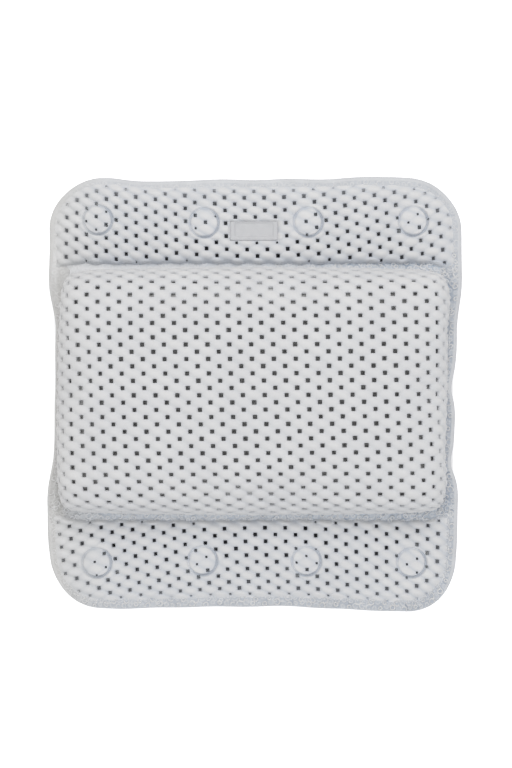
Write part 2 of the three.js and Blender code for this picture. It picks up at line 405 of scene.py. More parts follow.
PLATE_VINYL = VinylFinish(
    "smooth plate vinyl",
    Slot.PLATE,
    tones=((0.585, 0.588, 0.602), (0.550, 0.556, 0.572)),
    cloud_scale=150.0,
    cloud_grit=0.55,
    grain_scale=700.0,
    grain_strength=0.12,
    grain_depth=0.2 * MM,
    roughness=(0.4, 0.52),
    fixed={"Specular IOR Level": 0.4},
)
CUP_VINYL = VinylFinish(
    "milky cup vinyl",
    Slot.CUP,
    tones=((0.86, 0.88, 0.89), (0.78, 0.81, 0.83)),
    cloud_scale=120.0,
    cloud_grit=0.5,
    grain_scale=320.0,
    grain_strength=0.06,
    grain_depth=0.3 * MM,
    roughness=(0.12, 0.24),
    fixed={"IOR": 1.5, "Transmission Weight": 0.45},
)


@dataclass(frozen=True)
class FillingFinish(Finish):
    """Open-celled foam inside the cushion."""

    name: str = "open cell filling"
    slot: Slot = Slot.FILLING
    light: Colour = (0.63, 0.63, 0.62)
    pore: Colour = (0.50, 0.50, 0.50)
    cell_scale: float = 700.0
    roughness: Pair = (0.85, 1.0)

    def make(self, board: NodeBoard) -> Material:
        """Makes the material.

        Args:
            board: Empty board.

        Returns:
            The material.
        """
        values = {"Vector": board.place(), "Scale": self.cell_scale}
        cells = board.add("TexVoronoi", values).outputs["Distance"]
        tone = board.colours(board.span(cells, 0.0, 1.0, (0.0, 0.6)), self.pore, self.light)
        return board.solid(tone, board.span(cells, *self.roughness), board.bump(cells, 0.5, 0.4 * MM), {})


@dataclass(frozen=True)
class FloorFinish(Finish):
    """Pale studio sheet, white to the camera round the pillow, with a grey shadow painted under it."""

    half_size: Pair
    radius: float
    name: str = "pale studio sheet"
    slot: None = None
    pale: Colour = (0.80, 0.80, 0.80)
    shade: Colour = (0.38, 0.39, 0.41)
    ramp: Pair = (-8 * MM, -1 * MM)
    glow: float = 0.62

    def make(self, board: NodeBoard) -> Material:
        """Makes the material.

        Args:
            board: Empty board.

        Returns:
            The material.
        """
        rays = board.add("LightPath").outputs
        seen = rays["Is Camera Ray"]
        for kind in ("Is Glossy Ray", "Is Transmission Ray"):
            seen = board.maths("MAXIMUM", seen, rays[kind])
        away = board.place()
        corner = (*(half - self.radius for half in self.half_size), 1.0)
        steps = (("ABSOLUTE", {}), ("SUBTRACT", {1: corner}), ("MAXIMUM", {1: (0.0, 0.0, 0.0)}))
        for operation, other in steps:
            away = board.add("VectorMath", {0: away, **other}, operation=operation).outputs[0]
        away = board.add("VectorMath", {0: away}, operation="LENGTH").outputs["Value"]
        outside = board.span(away, 0.0, 1.0, tuple(self.radius + edge for edge in self.ramp))
        speckle = board.span(board.noise(300.0), 0.97, 1.0)
        # Painted shadow: under the pillow's outline the floor turns to the grey shade colour.
        tone = board.greyed(board.colours(outside, self.shade, self.pale), speckle)
        matt = board.add("BsdfDiffuse", {"Color": tone})
        strength = board.span(board.maths("MULTIPLY", seen, outside), 0.0, self.glow)
        light = board.add("Emission", {"Strength": strength})
        return board.surface(board.add("AddShader", {0: matt.outputs[0], 1: light.outputs[0]}))


def make_piece(name: str, bm: Mesh, finish: Finish) -> Object:
    """Turns a finished bmesh into an object.

    Args:
        name: Name of the object.
        bm: Finished mesh, which is freed.
        finish: Its look.

    Returns:
        The object.
    """
    mesh = bpy.data.meshes.new(name)
    bm.to_mesh(mesh)
    bm.free()
    mesh.shade_smooth()
    mesh.materials.append(finish.material())
    piece = bpy.data.objects.new(name, mesh)
    bpy.context.scene.collection.objects.link(piece)
    LOG.info("%s: %d faces", name, len(mesh.polygons))
    return piece


class Shape(ABC):
    """Something modelled as a mesh that stands for one CAD node."""

    sharp_angle: ClassVar[float | None] = None

    @abstractmethod
    def model(self) -> Mesh:
        """Models the mesh."""

    def build(self, name: str, finish: Finish, node: str) -> Object:
        """Builds the piece.

        Args:
            name: Name of the piece.
            finish: Its look.
            node: CAD node that it replaces.

        Returns:
            The piece.
        """
        bm = self.model()
        bmesh.ops.recalc_face_normals(bm, faces=list(bm.faces))
        if bm.calc_volume(signed=True) < 0:
            # A bowl-shaped shell can come out of the recalculation inside out.
            bmesh.ops.reverse_faces(bm, faces=list(bm.faces))
        piece = make_piece(name, bm, finish)
        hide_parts(node)
        if self.sharp_angle:
            piece.data.set_sharp_from_angle(angle=math.radians(self.sharp_angle))
        return piece


@dataclass(frozen=True)
class Pull:
    """Pull of the welds on one corner of the pillow, which dies away from it by a power."""

    corner: tuple[int, int]
    move: Pair
    power: int = 2


@dataclass(frozen=True)
class Pucker:
    """Shallow dent in an edge, or a bulge where its depth is negative."""

    edge: Edge
    centre: float
    width: float
    depth: float


@dataclass(frozen=True)
class PillowPlan:
    """Outline of the pillow from the front, and the ways in which welding has pulled it out of true."""

    half_width: float
    half_length: float
    folds: dict[Side, Vector]
    corner_radius: float = 40 * MM
    band_width: float = 7.6 * MM
    band_spread: Pair = (1.2 * MM, 1.0 * MM)
    splice: float = 80 * MM
    slack: float = 0.005
    skew: float = 0.0103
    draw_in: Pair = (5 * MM, 3.2 * MM)
    flank_span: Pair = (84 * MM, 46 * MM)
    drift: float = 3.5 * MM
    drift_span: Pair = (30 * MM, 6 * MM)
    puckers: tuple[Pucker, ...] = (
        Pucker(Edge.RIGHT, 4 * MM, 12 * MM, 2.6 * MM),
        Pucker(Edge.RIGHT, -54 * MM, 10 * MM, 3 * MM),
        Pucker(Edge.TOP, -73 * MM, 26 * MM, 1.7 * MM),
        Pucker(Edge.TOP, -112 * MM, 14 * MM, -1.2 * MM),
        Pucker(Edge.TOP, 86 * MM, 30 * MM, -1.5 * MM),
        Pucker(Edge.TOP, 128 * MM, 16 * MM, 1.3 * MM),
    )
    pulls: tuple[Pull, ...] = (
        Pull((1, 1), (2.7 * MM, 0.0), 1),
        Pull((1, 1), (-10 * MM, 0.0), 6),
        Pull((-1, 1), (-1.5 * MM, 0.0)),
        Pull((-1, -1), (-3 * MM, -0.8 * MM), 1),
        Pull((-1, -1), (14 * MM, 0.0), 4),
        Pull((1, -1), (0.8 * MM, -2.2 * MM)),
        Pull((1, -1), (-4.5 * MM, 0.0), 4),
    )
    flap_span: Pair = (100 * MM, 165 * MM)
    lower_lift: float = 2.1 * MM
    lift_fade: Pair = (130 * MM, 30 * MM)
    middle_lift: float = 1.2 * MM
    middle_width: float = 60 * MM
    upper_drop: float = 1.5 * MM
    drop_fade: Pair = (140 * MM, 50 * MM)
    ripple: float = 0.5 * MM
    ripple_lengths: Pair = (7.9 * MM, 12.7 * MM)
    pocket_ends: Pair = (98 * MM, 80 * MM)
    pocket_sides: Pair = (130 * MM, 144 * MM)
    seam_rise: Pair = (60 * MM, 85 * MM)
    seam_fall: Pair = (105 * MM, 115 * MM)
    faint_span: Pair = (110 * MM, -10 * MM)
    flap_start: Pair = (104 * MM, 112 * MM)
    left_edge: Pair = (-135 * MM, -150 * MM)
    left_run: Pair = (104 * MM, 94 * MM)
    bottom_edge: Pair = (140 * MM, 160 * MM)

    @property
    def fold_height(self) -> float:
        """Height of the flat net's middle, which the folds lie in."""
        return self.folds[Side.UPPER].z

    @property
    def half_loop(self) -> float:
        """Half the length of the outer edge."""
        straight = self.half_width + self.half_length - 2 * self.corner_radius
        return (4 * straight + 2 * math.pi * self.corner_radius) / 2

    def blend(self, piece: Object, side: Side, run: float) -> None:
        """Bakes a piece's placement into its mesh."""
        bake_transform(piece)

    def outline(self, along: Array, inset: Array) -> tuple[Array, Array]:
        """Walks round the outline from the middle of the right side towards the upper flap.

        Args:
            along: Distance along the outer edge.
            inset: Distance inwards from the outer edge.

        Returns:
            Plan coordinates, before bending.
        """
        core_x = self.half_width - self.corner_radius
        core_y = self.half_length - self.corner_radius
        bow = self.corner_radius * math.pi / 2
        knots = np.cumsum([0, core_y, bow, 2 * core_x, bow, 2 * core_y, bow, 2 * core_x, bow, core_y])
        wrapped = np.mod(along, knots[-1])
        x = np.interp(wrapped, knots, core_x * np.array([1, 1, 1, -1, -1, -1, -1, 1, 1, 1]))
        y = np.interp(wrapped, knots, core_y * np.array([0, 1, 1, 1, 1, -1, -1, -1, -1, 0]))
        turn = np.interp(wrapped, knots, math.pi / 2 * np.array([0, 0, 1, 1, 2, 2, 3, 3, 4, 4]))
        short, long = self.ripple_lengths
        wave = np.sin(wrapped / short) + 0.8 * np.sin(wrapped / long + 1.3)
        radius = self.corner_radius - inset - self.ripple * (1 + wave / 1.8)
        return x + radius * np.cos(turn), y + radius * np.sin(turn)

    def inset(self, x: Array, y: Array) -> Array:
        """Measures how far inside the outer edge a point lies.

        Args:
            x: Plan coordinate, before bending.
            y: Plan coordinate, before bending.

        Returns:
            Distances, positive inside.
        """
        over_x = np.abs(x) - self.half_width + self.corner_radius
        over_y = np.abs(y) - self.half_length + self.corner_radius
        corner = np.hypot(np.maximum(over_x, 0.0), np.maximum(over_y, 0.0))
        return self.corner_radius - corner - np.minimum(np.maximum(over_x, over_y), 0.0)

    def band_edge(self, x: Array, y: Array) -> Array:
        """Gives the width of the pressed edge at a place, which is widest on the right and below."""
        wider = self.band_spread[0] * x / self.half_width - self.band_spread[1] * y / self.half_length
        return self.band_width + wider

    def weld_marks(self, x: Array, y: Array) -> tuple[Array, Array, Array]:
        """Tells how the weld tool has marked the bands from place to place, and where shade is painted on
        them.

        Args:
            x: Place across the pillow.
            y: Place up the pillow.

        Returns:
            Painted shade, darker towards the right and the bottom and beside the pocket and lighter along
            the upper seam, which also raises the rings a little where it is high; how clearly its rings are
            struck, least at the top and on the left; and the share of the plain lip that is left outside
            the rings, little below and on the left.
        """
        share_x, share_y = x / self.half_width, y / self.half_length
        faint = smoothstep(*self.faint_span, x)
        seam = smoothstep(*self.seam_rise, y)
        beside = smoothstep(*self.pocket_ends, np.abs(y)) * smoothstep(*self.pocket_sides, np.abs(x))
        upper = seam * smoothstep(*reversed(self.seam_fall), y) * faint
        # Painted shade: darker towards the right and the bottom, beside the pocket where the cushion's wall
        # shades the bands, and lighter along the upper seam; it also raises the rings a little.
        level = 0.12 * np.maximum(share_x, -0.4) + 0.2 * np.maximum(-share_y, -0.2)
        shade_and_press = level + 0.25 * beside - 0.4 * upper * (1 - beside)
        top = seam * np.maximum(smoothstep(*self.seam_fall, y), faint)
        flap = smoothstep(*self.flap_start, np.abs(y)) * smoothstep(*self.left_edge, x)
        strike = (1 + 0.35 * np.maximum(share_x, -0.1)) * (1 - 0.6 * top) * (1 - 0.4 * flap)
        left = smoothstep(*self.left_run, np.abs(y)) * (x < 0)
        return shade_and_press, strike, 1 - 0.75 * smoothstep(*self.bottom_edge, -y) - 0.5 * left

    def seam_drift(self, x: Array) -> Array:
        """Gives how far a seam runs in towards the cushion near its two ends."""
        first, last = (self.half_width - gap for gap in self.drift_span)
        return self.drift * smoothstep(first, last, np.abs(x))

    def flank(self, y: Array) -> Array:
        """Gives the share of the draw-in that the outline has beside the pocket."""
        return smoothstep(*self.flank_span, np.abs(y))

    def bend(self, x: Array, y: Array, pocket: bool = False) -> tuple[Array, Array]:
        """Pulls true plan coordinates into the shape that the welds have left.

        Args:
            x: True coordinate.
            y: True coordinate.
            pocket: Whether the points belong to the pocket, whose sides stay straight.

        Returns:
            Bent coordinates.
        """
        share_x, share_y = x / self.half_width, y / self.half_length
        drawn = np.where(x < 0, *self.draw_in) * (1.0 if pocket else self.flank(y))
        top = np.zeros_like(x)
        for pucker in self.puckers:
            if pucker.edge is Edge.TOP:
                top = top + pucker.depth * hump(x, pucker.centre, pucker.width)
            elif not pocket:
                drawn = drawn + pucker.depth * (x > 0) * hump(y, pucker.centre, pucker.width)
        bent_x = x * (1 - self.slack) - share_x**3 * drawn + self.skew * y
        lift = self.lower_lift * smoothstep(*self.lift_fade, x)
        lift = lift + self.middle_lift * hump(x, 0.0, self.middle_width)
        drop = self.upper_drop * smoothstep(*self.drop_fade, x) + top
        bent_y = y + lift * smoothstep(*self.flap_span, -y) - drop * smoothstep(*self.flap_span, y)
        for pull in self.pulls:
            grip = np.clip(pull.corner[0] * share_x, 0, 1) * np.clip(pull.corner[1] * share_y, 0, 1)
            bent_x = bent_x + grip**pull.power * pull.move[0]
            bent_y = bent_y + grip**pull.power * pull.move[1]
        return bent_x, bent_y

    def unbend(self, x: Array, y: Array) -> tuple[Array, Array]:
        """Finds the true plan coordinates of bent ones.

        Args:
            x: Bent coordinate.
            y: Bent coordinate.

        Returns:
            True coordinates.
        """
        true_x, true_y = x, y
        for _ in range(5):
            bent_x, bent_y = self.bend(true_x, true_y)
            true_x, true_y = true_x + x - bent_x, true_y + y - bent_y
        return true_x, true_y


@dataclass(frozen=True)
class Lattice:
    """Staggered lozenge pattern of a foam net, with a hole at each lozenge corner.

    Points are counted along the two diagonals of the pattern, so that every whole-numbered pair is a hole
    and every unit square between four of them is one lozenge. The net is stretched when it is welded, so
    its rows and columns are not quite straight.
    """

    origin: Pair
    pitch: Pair
    gather: float = 0.0
    flare: float = 0.0
    lean: float = 0.0
    fan: float = 0.0
    sway: float = 0.0
    tilt: float = 0.0
    bow: float = 0.0
    spread: float = 0.0
    shrink: float = 0.0
    squeeze: float = 0.0
    squeezed_rows: int = 5
    steps: int = 8

    def place(self, first: Array, second: Array) -> tuple[Array, Array]:
        """Finds where lattice points lie on the sheet.

        Args:
            first: Count along the rising diagonal.
            second: Count along the falling diagonal.

        Returns:
            Sheet coordinates.
        """
        column = (first + second) / 2
        row = (first - second) / 2
        x = self.origin[0] + column * (self.pitch[0] + column * (self.gather + self.flare * column))
        x = x + row * (self.lean + self.fan * column + self.sway * row)
        y = self.origin[1] + self.pitch[1] * row
        y = y + column * (self.tilt + self.bow * column + self.spread * row)
        held = np.clip(row, -self.squeezed_rows, self.squeezed_rows)
        return x, y + held**2 * (self.shrink + self.squeeze * held)


@dataclass(frozen=True)
class FlapFit:
    """What differs between the flaps: lattice, shifts of the cup rings in mm, and how the seam lies."""

    lattice: Lattice
    ring_shifts: tuple[Pair, ...]
    net_shade: float
    net_dip: float
    seam_shade: float
    seam_dip: float


COVER_LATTICE = Lattice(
    origin=(-8.1 * MM, -2.2 * MM),
    pitch=(16.08 * MM, 10.63 * MM),
    gather=-0.0036 * MM,
    flare=0.0064 * MM,
    lean=-0.711 * MM,
    fan=0.0026 * MM,
    sway=0.0147 * MM,
    tilt=0.056 * MM,
    bow=0.0043 * MM,
    spread=-0.0036 * MM,
)
BACK_LATTICE = Lattice(origin=(2.1 * MM, 3.0 * MM), pitch=(16.1 * MM, 10.6 * MM), lean=0.2 * MM)
UPPER_LATTICE = Lattice(
    origin=(-5.34 * MM, 111.66 * MM),
    pitch=(15.68 * MM, 10.1 * MM),
    gather=0.0117 * MM,
    flare=-0.001 * MM,
    lean=-0.55 * MM,
    fan=-0.084 * MM,
    tilt=-0.064 * MM,
    bow=0.1735 * MM,
    shrink=-0.034 * MM,
)
LOWER_LATTICE = Lattice(
    origin=(17.6 * MM, -129.64 * MM),
    pitch=(15.38 * MM, 10.44 * MM),
    gather=0.0026 * MM,
    flare=0.001 * MM,
    lean=-0.65 * MM,
    fan=0.099 * MM,
    sway=0.05 * MM,
    tilt=-0.159 * MM,
    bow=-0.1435 * MM,
    spread=0.03 * MM,
    shrink=0.135 * MM,
    squeeze=-0.039 * MM,
)
FLAP_FITS = {
    Side.UPPER: FlapFit(
        UPPER_LATTICE,
        ring_shifts=((0.2, 1.2), (1.8, -1.0), (1.6, -0.4), (2.2, 0.2)),
        net_shade=0.5,
        net_dip=2.4 * MM,
        seam_shade=0.5,
        seam_dip=2.8 * MM,
    ),
    Side.LOWER: FlapFit(
        LOWER_LATTICE,
        ring_shifts=((-0.6, -0.6), (0.6, 1.0), (0.2, 0.6), (0.8, -0.6)),
        net_shade=0.0,
        net_dip=1.3 * MM,
        seam_shade=-0.1,
        seam_dip=1.4 * MM,
    ),
}


@dataclass
class FoamNet(Shape):
    """A sheet of foam net, built on its lattice and then given its two skins."""

    plan: PillowPlan
    lattice: Lattice
    reach: Pair
    hole_half: Pair
    smallest_hole: float = 0.4
    hole_variety: float = 0.07
    crease_power: Pair = (0.8, 0.5)
    crease_share: float = 0.45
    rising_share: float = 0.45
    unevenness: float = 0.14
    chances: int = 61
    seed: int = 7
    sharp_angle: ClassVar[float] = 75.0

    @abstractmethod
    def covers(self, x: Array, y: Array) -> Array:
        """Tells where on the sheet the net exists."""

    @abstractmethod
    def openness(self, x: Array, y: Array) -> Array:
        """Gives the size of a hole at a place, from 0 for a dent to 1."""

    @abstractmethod
    def skins(self, x: Array, y: Array, relief: Array) -> tuple[Array, Array]:
        """Gives the points of the outer and the inner skin."""

    @abstractmethod
    def dulled(self, x: Array, y: Array, relief: Array) -> Array:
        """Gives the relief by which the finish darkens with painted shade."""

    def refine(self, bm: Mesh) -> None:
        """Adds lattice points where the sheet is pressed finely. A plain net needs none."""

    def chance(self, first: Array, second: Array, layer: int) -> Array:
        """Gives a fixed random value from -1 to 1 to each whole-numbered lattice pair, for each layer."""
        table = np.random.default_rng(self.seed + layer).uniform(-1, 1, (self.chances, self.chances))
        return table[first.astype(int) % self.chances, second.astype(int) % self.chances]

    def hole_size(self, first: Array, second: Array) -> Array:
        """Gives the size of the hole at each whole-numbered lattice pair, from 0 to about 1."""
        varied = 1 + self.hole_variety * self.chance(first, second, 1)
        return self.openness(*self.lattice.place(first, second)) * varied

    def flat_sheet(self) -> Mesh:
        """Cuts the sheet out of a grid in lattice counts, with its holes.

        Returns:
            The sheet.
        """
        lattice = self.lattice
        cells = math.ceil(self.reach[0] / lattice.pitch[0] + self.reach[1] / lattice.pitch[1]) + 1
        count = 2 * cells * lattice.steps
        bm = new_grid(count, count, cells)
        faces = list(bm.faces)
        middles = np.array([face.calc_center_median()[:2] for face in faces])
        corner = np.rint(middles)
        beside = np.abs(middles - corner).max(axis=1) < 1 / lattice.steps
        open_hole = self.hole_size(*corner.T) > self.smallest_hole
        gone = ~self.covers(*lattice.place(*middles.T)) | (beside & open_hole)
        bmesh.ops.delete(bm, geom=[face for face, out in zip(faces, gone) if out], context="FACES")
        return bm

    def opened(self, first: Array, second: Array) -> tuple[Array, Array]:
        """Places lattice points, with the ones round each hole moved onto its rounded square.

        Args:
            first: Counts along the rising diagonal.
            second: Counts along the falling diagonal.

        Returns:
            Sheet coordinates.
        """
        lattice = self.lattice
        x, y = lattice.place(first, second)
        corner_a, corner_b = np.rint(first), np.rint(second)
        away_a, away_b = first - corner_a, second - corner_b
        ring = np.maximum(np.abs(away_a), np.abs(away_b)) * lattice.steps
        unit = np.maximum(ring, 1e-6)
        across = (away_a + away_b) / 2 * lattice.steps / unit
        out = (away_a - away_b) / 2 * lattice.steps / unit
        size = self.hole_size(corner_a, corner_b)
        weight = np.interp(ring, [0, 1, 2, 3, 4], [0, 1, 0.5, 0.2, 0]) * (size > self.smallest_hole)
        square = size * (1.9 - 0.9 * np.abs(np.abs(across) - np.abs(out)))
        x = x + weight * across * (square * self.hole_half[0] - lattice.pitch[0] / lattice.steps)
        y = y + weight * out * (square * self.hole_half[1] - lattice.pitch[1] / lattice.steps)
        return x, y

    def relief(self, first: Array, second: Array) -> Array:
        """Shapes the lozenges, whose creases along one diagonal are deeper than along the other.

        Args:
            first: Counts along the rising diagonal.
            second: Counts along the falling diagonal.

        Returns:
            Heights from 0 in a hole to about 1 on a crest.
        """
        swell = (1 - (np.cos(2 * np.pi * first) + np.cos(2 * np.pi * second)) / 2) / 2
        crease = np.abs(np.sin(np.pi * first)) ** self.crease_power[0]
        rising = np.abs(np.sin(np.pi * second)) ** self.crease_power[1]
        crease = crease * (1 - self.rising_share + self.rising_share * rising)
        uneven = self.unevenness * self.chance(np.floor(first), np.floor(second), 2) * crease
        return (1 - self.crease_share) * np.sqrt(swell) + self.crease_share * crease + uneven

    def model(self) -> Mesh:
        """Models the net.

        Returns:
            Its mesh, with the relief on its points.
        """
        bm = self.flat_sheet()
        self.refine(bm)
        first, second = spots(bm.verts)
        relief = self.relief(first, second)
        x, y = self.opened(first, second)
        outer, inner = self.skins(x, y, relief)
        # The stored relief sets the painted shade of the net's finish.
        tint = self.dulled(x, y, relief)
        count = bm.verts.layers.int.new("lattice_point")
        height = bm.verts.layers.float.new("relief")
        for number, vert in enumerate(bm.verts):
            vert[count] = number
            vert[height] = tint[number]
        made = thicken(bm)
        for vert in bm.verts:
            vert.co = inner[vert[count]]
        for vert in made:
            vert.co = outer[vert[count]]
        bm.verts.layers.int.remove(count)
        return bm


@dataclass
class FlapNet(FoamNet):
    """Flat net of one flap, pressed thin at its edges, over its cups and round the plate.

    Its sheet coordinates are those of the bent pillow.
    """

    hole_half: Pair = (1.4 * MM, 1.55 * MM)
    side: Side = Side.UPPER
    seam_line: float = 1.5 * MM
    seam_scallop: float = 0.5 * MM
    seam_wave: float = 0.3 * MM
    seam_wave_length: float = 23 * MM
    rings: tuple[Vector, ...] = ()
    plate: tuple[Vector, Vector] | None = None
    ring_radius: float = 11.1 * MM
    ring_width: float = 0.85 * MM
    ring_depth: float = 2.3 * MM
    # Painted shade in the pressed cup rings.
    ring_tint: float = 1.2
    ring_cuts: Pair = (3.4 * MM, 2.2 * MM)
    disc_puff: float = 0.5 * MM
    disc_span: Pair = (4 * MM, -1 * MM)
    disc_flat: float = 0.7
    disc_relief: float = 0.55
    disc_holes: Pair = (0.95, 0.6)
    disc_back: float = 1.9 * MM
    disc_back_span: Pair = (5 * MM, 2 * MM)
    edge_half: float = 0.9 * MM
    base_half: float = 1.2 * MM
    crest: float = 2.2 * MM
    # Painted shade that darkens the whole flap a little.
    thinness: float = 0.14
    back_crest: float = 1.0 * MM
    crease_share: float = 0.5
    crease_span: Pair = (6.5 * MM, 0.0)
    # Painted shade in the crease at the seam.
    crease_tint: float = 0.5
    edge_closing: Pair = (0.0, 6.5 * MM)
    edge_shut: Pair = (-4 * MM, -1 * MM)
    edge_hole: float = 0.62
    seam_closing: Pair = (-1.5 * MM, 3.1 * MM)
    ring_closing: Pair = (0.2 * MM, 2.2 * MM)
    ring_hole: float = 0.3
    plate_closing: Pair = (0.4 * MM, 2.6 * MM)
    plate_recess: Pair = (0.8 * MM, -0.5 * MM)
    recess_level: float = 0.2 * MM
    rim_span: Pair = (-2 * MM, 5 * MM)
    seam_span: Pair = (-1.2 * MM, 0.6 * MM)
    seam_roll: float = 5 * MM
    seam_dip: float = 2.4 * MM
    seam_tuck: float = 0.6 * MM
    seam_end: float = 1.8 * MM
    seam_thickness: float = 0.5 * MM
    thin_span: Pair = (1.2 * MM, -0.6 * MM)
    dip_span: Pair = (-2 * MM, 22 * MM)
    under_band: float = 3 * MM

    def inside(self, x: Array, y: Array) -> Array:
        """Measures how far a point lies inside the pressed edge bands."""
        true = self.plan.unbend(x, y)
        return self.plan.inset(*true) - self.plan.band_edge(*true)

    def outward(self, x: Array, y: Array) -> Array:
        """Measures how far a point lies beyond the seam, which is scalloped by the lozenges.

        Args:
            x: Sheet coordinate.
            y: Sheet coordinate.

        Returns:
            Distances, positive on the flap.
        """
        line = abs(self.plan.folds[self.side].y) + self.seam_line
        scallop = self.seam_scallop * np.sin(2 * np.pi * x / self.lattice.pitch[0])
        scallop = scallop + self.seam_wave * np.sin(x / self.seam_wave_length)
        return self.side.value * y - line + self.plan.seam_drift(x) + scallop

    def ring_polar(self, x: Array, y: Array) -> tuple[Array, Array]:
        """Measures from the middle of the nearest cup ring.

        Args:
            x: Sheet coordinate.
            y: Sheet coordinate.

        Returns:
            Distances and bearings.
        """
        gaps = np.array([(x - ring.x, y - ring.y) for ring in self.rings])
        distance = np.hypot(gaps[:, 0], gaps[:, 1])
        nearest = distance.argmin(axis=0), np.arange(len(x))
        bearing = np.arctan2(gaps[:, 1][nearest], gaps[:, 0][nearest])
        return distance[nearest], bearing

    def around_ring(self, span: Pair, away: Array) -> Array:
        """Eases over a span of distances that are counted outwards from the cup ring."""
        return smoothstep(self.ring_radius + span[0], self.ring_radius + span[1], away)

    def from_plate(self, x: Array, y: Array) -> Array:
        """Measures the distance out of the plate's outline.

        Args:
            x: Sheet coordinate.
            y: Sheet coordinate.

        Returns:
            Distances, negative on the plate, and far away where there is none.
        """
        if self.plate is None:
            return np.full_like(x, 1.0)
        low, high = self.plate
        middle, half = (low + high) / 2, (high - low) / 2
        return np.maximum(np.abs(x - middle.x) - half.x, np.abs(y - middle.y) - half.y)

    def covers(self, x: Array, y: Array) -> Array:
        """Tells where on the sheet the net exists."""
        return (self.inside(x, y) > -self.under_band) & (self.outward(x, y) > -self.seam_end)

    def openness(self, x: Array, y: Array) -> Array:
        """Gives the size of a hole at a place, smaller at the edges, and on a disc not the same for all.

        Args:
            x: Sheet coordinate.
            y: Sheet coordinate.

        Returns:
            Sizes from 0 for a dent to 1.
        """
        inside = self.inside(x, y)
        size = self.edge_hole + (1 - self.edge_hole) * smoothstep(*self.edge_closing, inside)
        size = size * smoothstep(*self.edge_shut, inside)
        size = size * smoothstep(*self.seam_closing, self.outward(x, y))
        away, _ = self.ring_polar(x, y)
        ring = smoothstep(*self.ring_closing, np.abs(away - self.ring_radius))
        some = np.where(np.sin(2.1e3 * x + 1.7e3 * y) > -0.2, *self.disc_holes)
        round_it = self.ring_hole + (1 - self.ring_hole) * ring
        size = size * np.where(away < self.ring_radius, some * ring, round_it)
        return size * smoothstep(*self.plate_closing, self.from_plate(x, y))

    def dulled(self, x: Array, y: Array, relief: Array) -> Array:
        """Gives the relief by which the finish darkens with painted shade: in the pressed cup rings, in the
        crease at the seam, and slightly over the whole flap.

        Args:
            x: Sheet coordinate.
            y: Sheet coordinate.
            relief: Lozenge height.

        Returns:
            Tints, 1 on a pale crest.
        """
        away, bearing = self.ring_polar(x, y)
        crease = self.crease_tint * smoothstep(*self.crease_span, self.outward(x, y))
        return relief - self.thinness - crease - self.ring_tint * self.ring_share(away, bearing)

    def ring_share(self, away: Array, bearing: Array) -> Array:
        """Gives the depth of the pressed ring, which is deeper on the side that it was pressed from."""
        around = 0.7 + 0.3 * np.cos(bearing + 0.8) + 0.15 * np.sin(3 * bearing)
        return around * hump(away, self.ring_radius, self.ring_width)

    def refine(self, bm: Mesh) -> None:
        """Splits the lattice along the pressed cup rings.

        Args:
            bm: Sheet in lattice counts.
        """
        for band in self.ring_cuts:
            edges = list(bm.edges)
            ends = np.array([[end.co[:2] for end in edge.verts] for edge in edges])
            away = [self.ring_polar(*self.lattice.place(*ends[:, end].T))[0] for end in (0, 1)]
            near = np.abs(np.array(away) - self.ring_radius).max(axis=0) < band
            chosen = [edge for edge, close in zip(edges, near) if close]
            bmesh.ops.subdivide_edges(bm, edges=chosen, cuts=1, use_grid_fill=True)

    def skins(self, x: Array, y: Array, relief: Array) -> tuple[Array, Array]:
        """Gives the points of the outer and the inner skin.

        Args:
            x: Sheet coordinate.
            y: Sheet coordinate.
            relief: Lozenge height.

        Returns:
            Front and back points.
        """
        inside, outward = self.inside(x, y), self.outward(x, y)
        away, bearing = self.ring_polar(x, y)
        pressed = self.around_ring(self.disc_span, away)
        relief = relief + pressed * self.disc_flat * (self.disc_relief - relief)
        full = smoothstep(*self.rim_span, inside) * smoothstep(*self.seam_span, outward)
        groove = self.ring_depth * self.ring_share(away, bearing)
        puff = self.disc_puff * smoothstep(self.ring_radius, self.ring_radius * 0.5, away)
        spare = self.base_half - self.edge_half
        front = self.edge_half + full * (spare + self.crest * relief) - groove + puff
        recess = smoothstep(*self.plate_recess, self.from_plate(x, y))
        front = front + recess * (self.recess_level - front)
        back = self.edge_half + full * (spare + self.back_crest * relief)
        back = back + self.around_ring(self.disc_back_span, away) * (self.disc_back - back)
        back = back + smoothstep(*self.thin_span, outward) * (self.seam_thickness - front - back)
        rolled = np.clip((self.seam_roll - outward) / (self.seam_roll + self.seam_tuck), 0, 1)
        tucked = np.maximum(-self.seam_tuck - outward, 0.0)
        dip = self.seam_dip * (1 - np.sqrt(1 - rolled**2)) + tucked
        level = self.plan.fold_height - dip * smoothstep(*self.dip_span, inside)
        return np.column_stack([x, y, level + front]), np.column_stack([x, y, level - back])


class Roll:
    """Rounded wall from a flat face down to its foot, measured along its surface from the middle."""

    def __init__(self, half: float, reach: float, height: float, exponent: float) -> None:
        """Measures the roll.

        Args:
            half: Distance from the middle to the foot.
            reach: Width of the roll in plan.
            height: Height of the face over the foot.
            exponent: Squareness of the roll, 2 for an ellipse.
        """
        angle = np.linspace(0, np.pi / 2, 600)
        self.half = half
        self._inset = reach * (1 - np.cos(angle) ** (2 / exponent))
        self._rise = np.sin(angle) ** (2 / exponent)
        stretch = np.hypot(np.diff(self._inset), height * np.diff(self._rise))
        self._length = np.concatenate([[0.0], np.cumsum(stretch)])
        self.total = half - reach + self._length[-1]

    def from_foot(self, along: Array) -> Array:
        """Measures the distance up the surface from the foot, negative under it."""
        return self.total - np.abs(along)

    def place(self, along: Array) -> tuple[Array, Array, Array]:
        """Finds points on the roll.

        Args:
            along: Distance along the surface from the middle.

        Returns:
            Plan coordinate, share of the full height, and distance under the foot.
        """
        up = self.from_foot(along)
        inset = np.interp(up, self._length, self._inset)
        coordinate = np.where(up > self._length[-1], np.abs(along), self.half - inset)
        rise = np.interp(up, self._length, self._rise)
        return np.sign(along) * coordinate, rise, np.maximum(-up, 0.0)


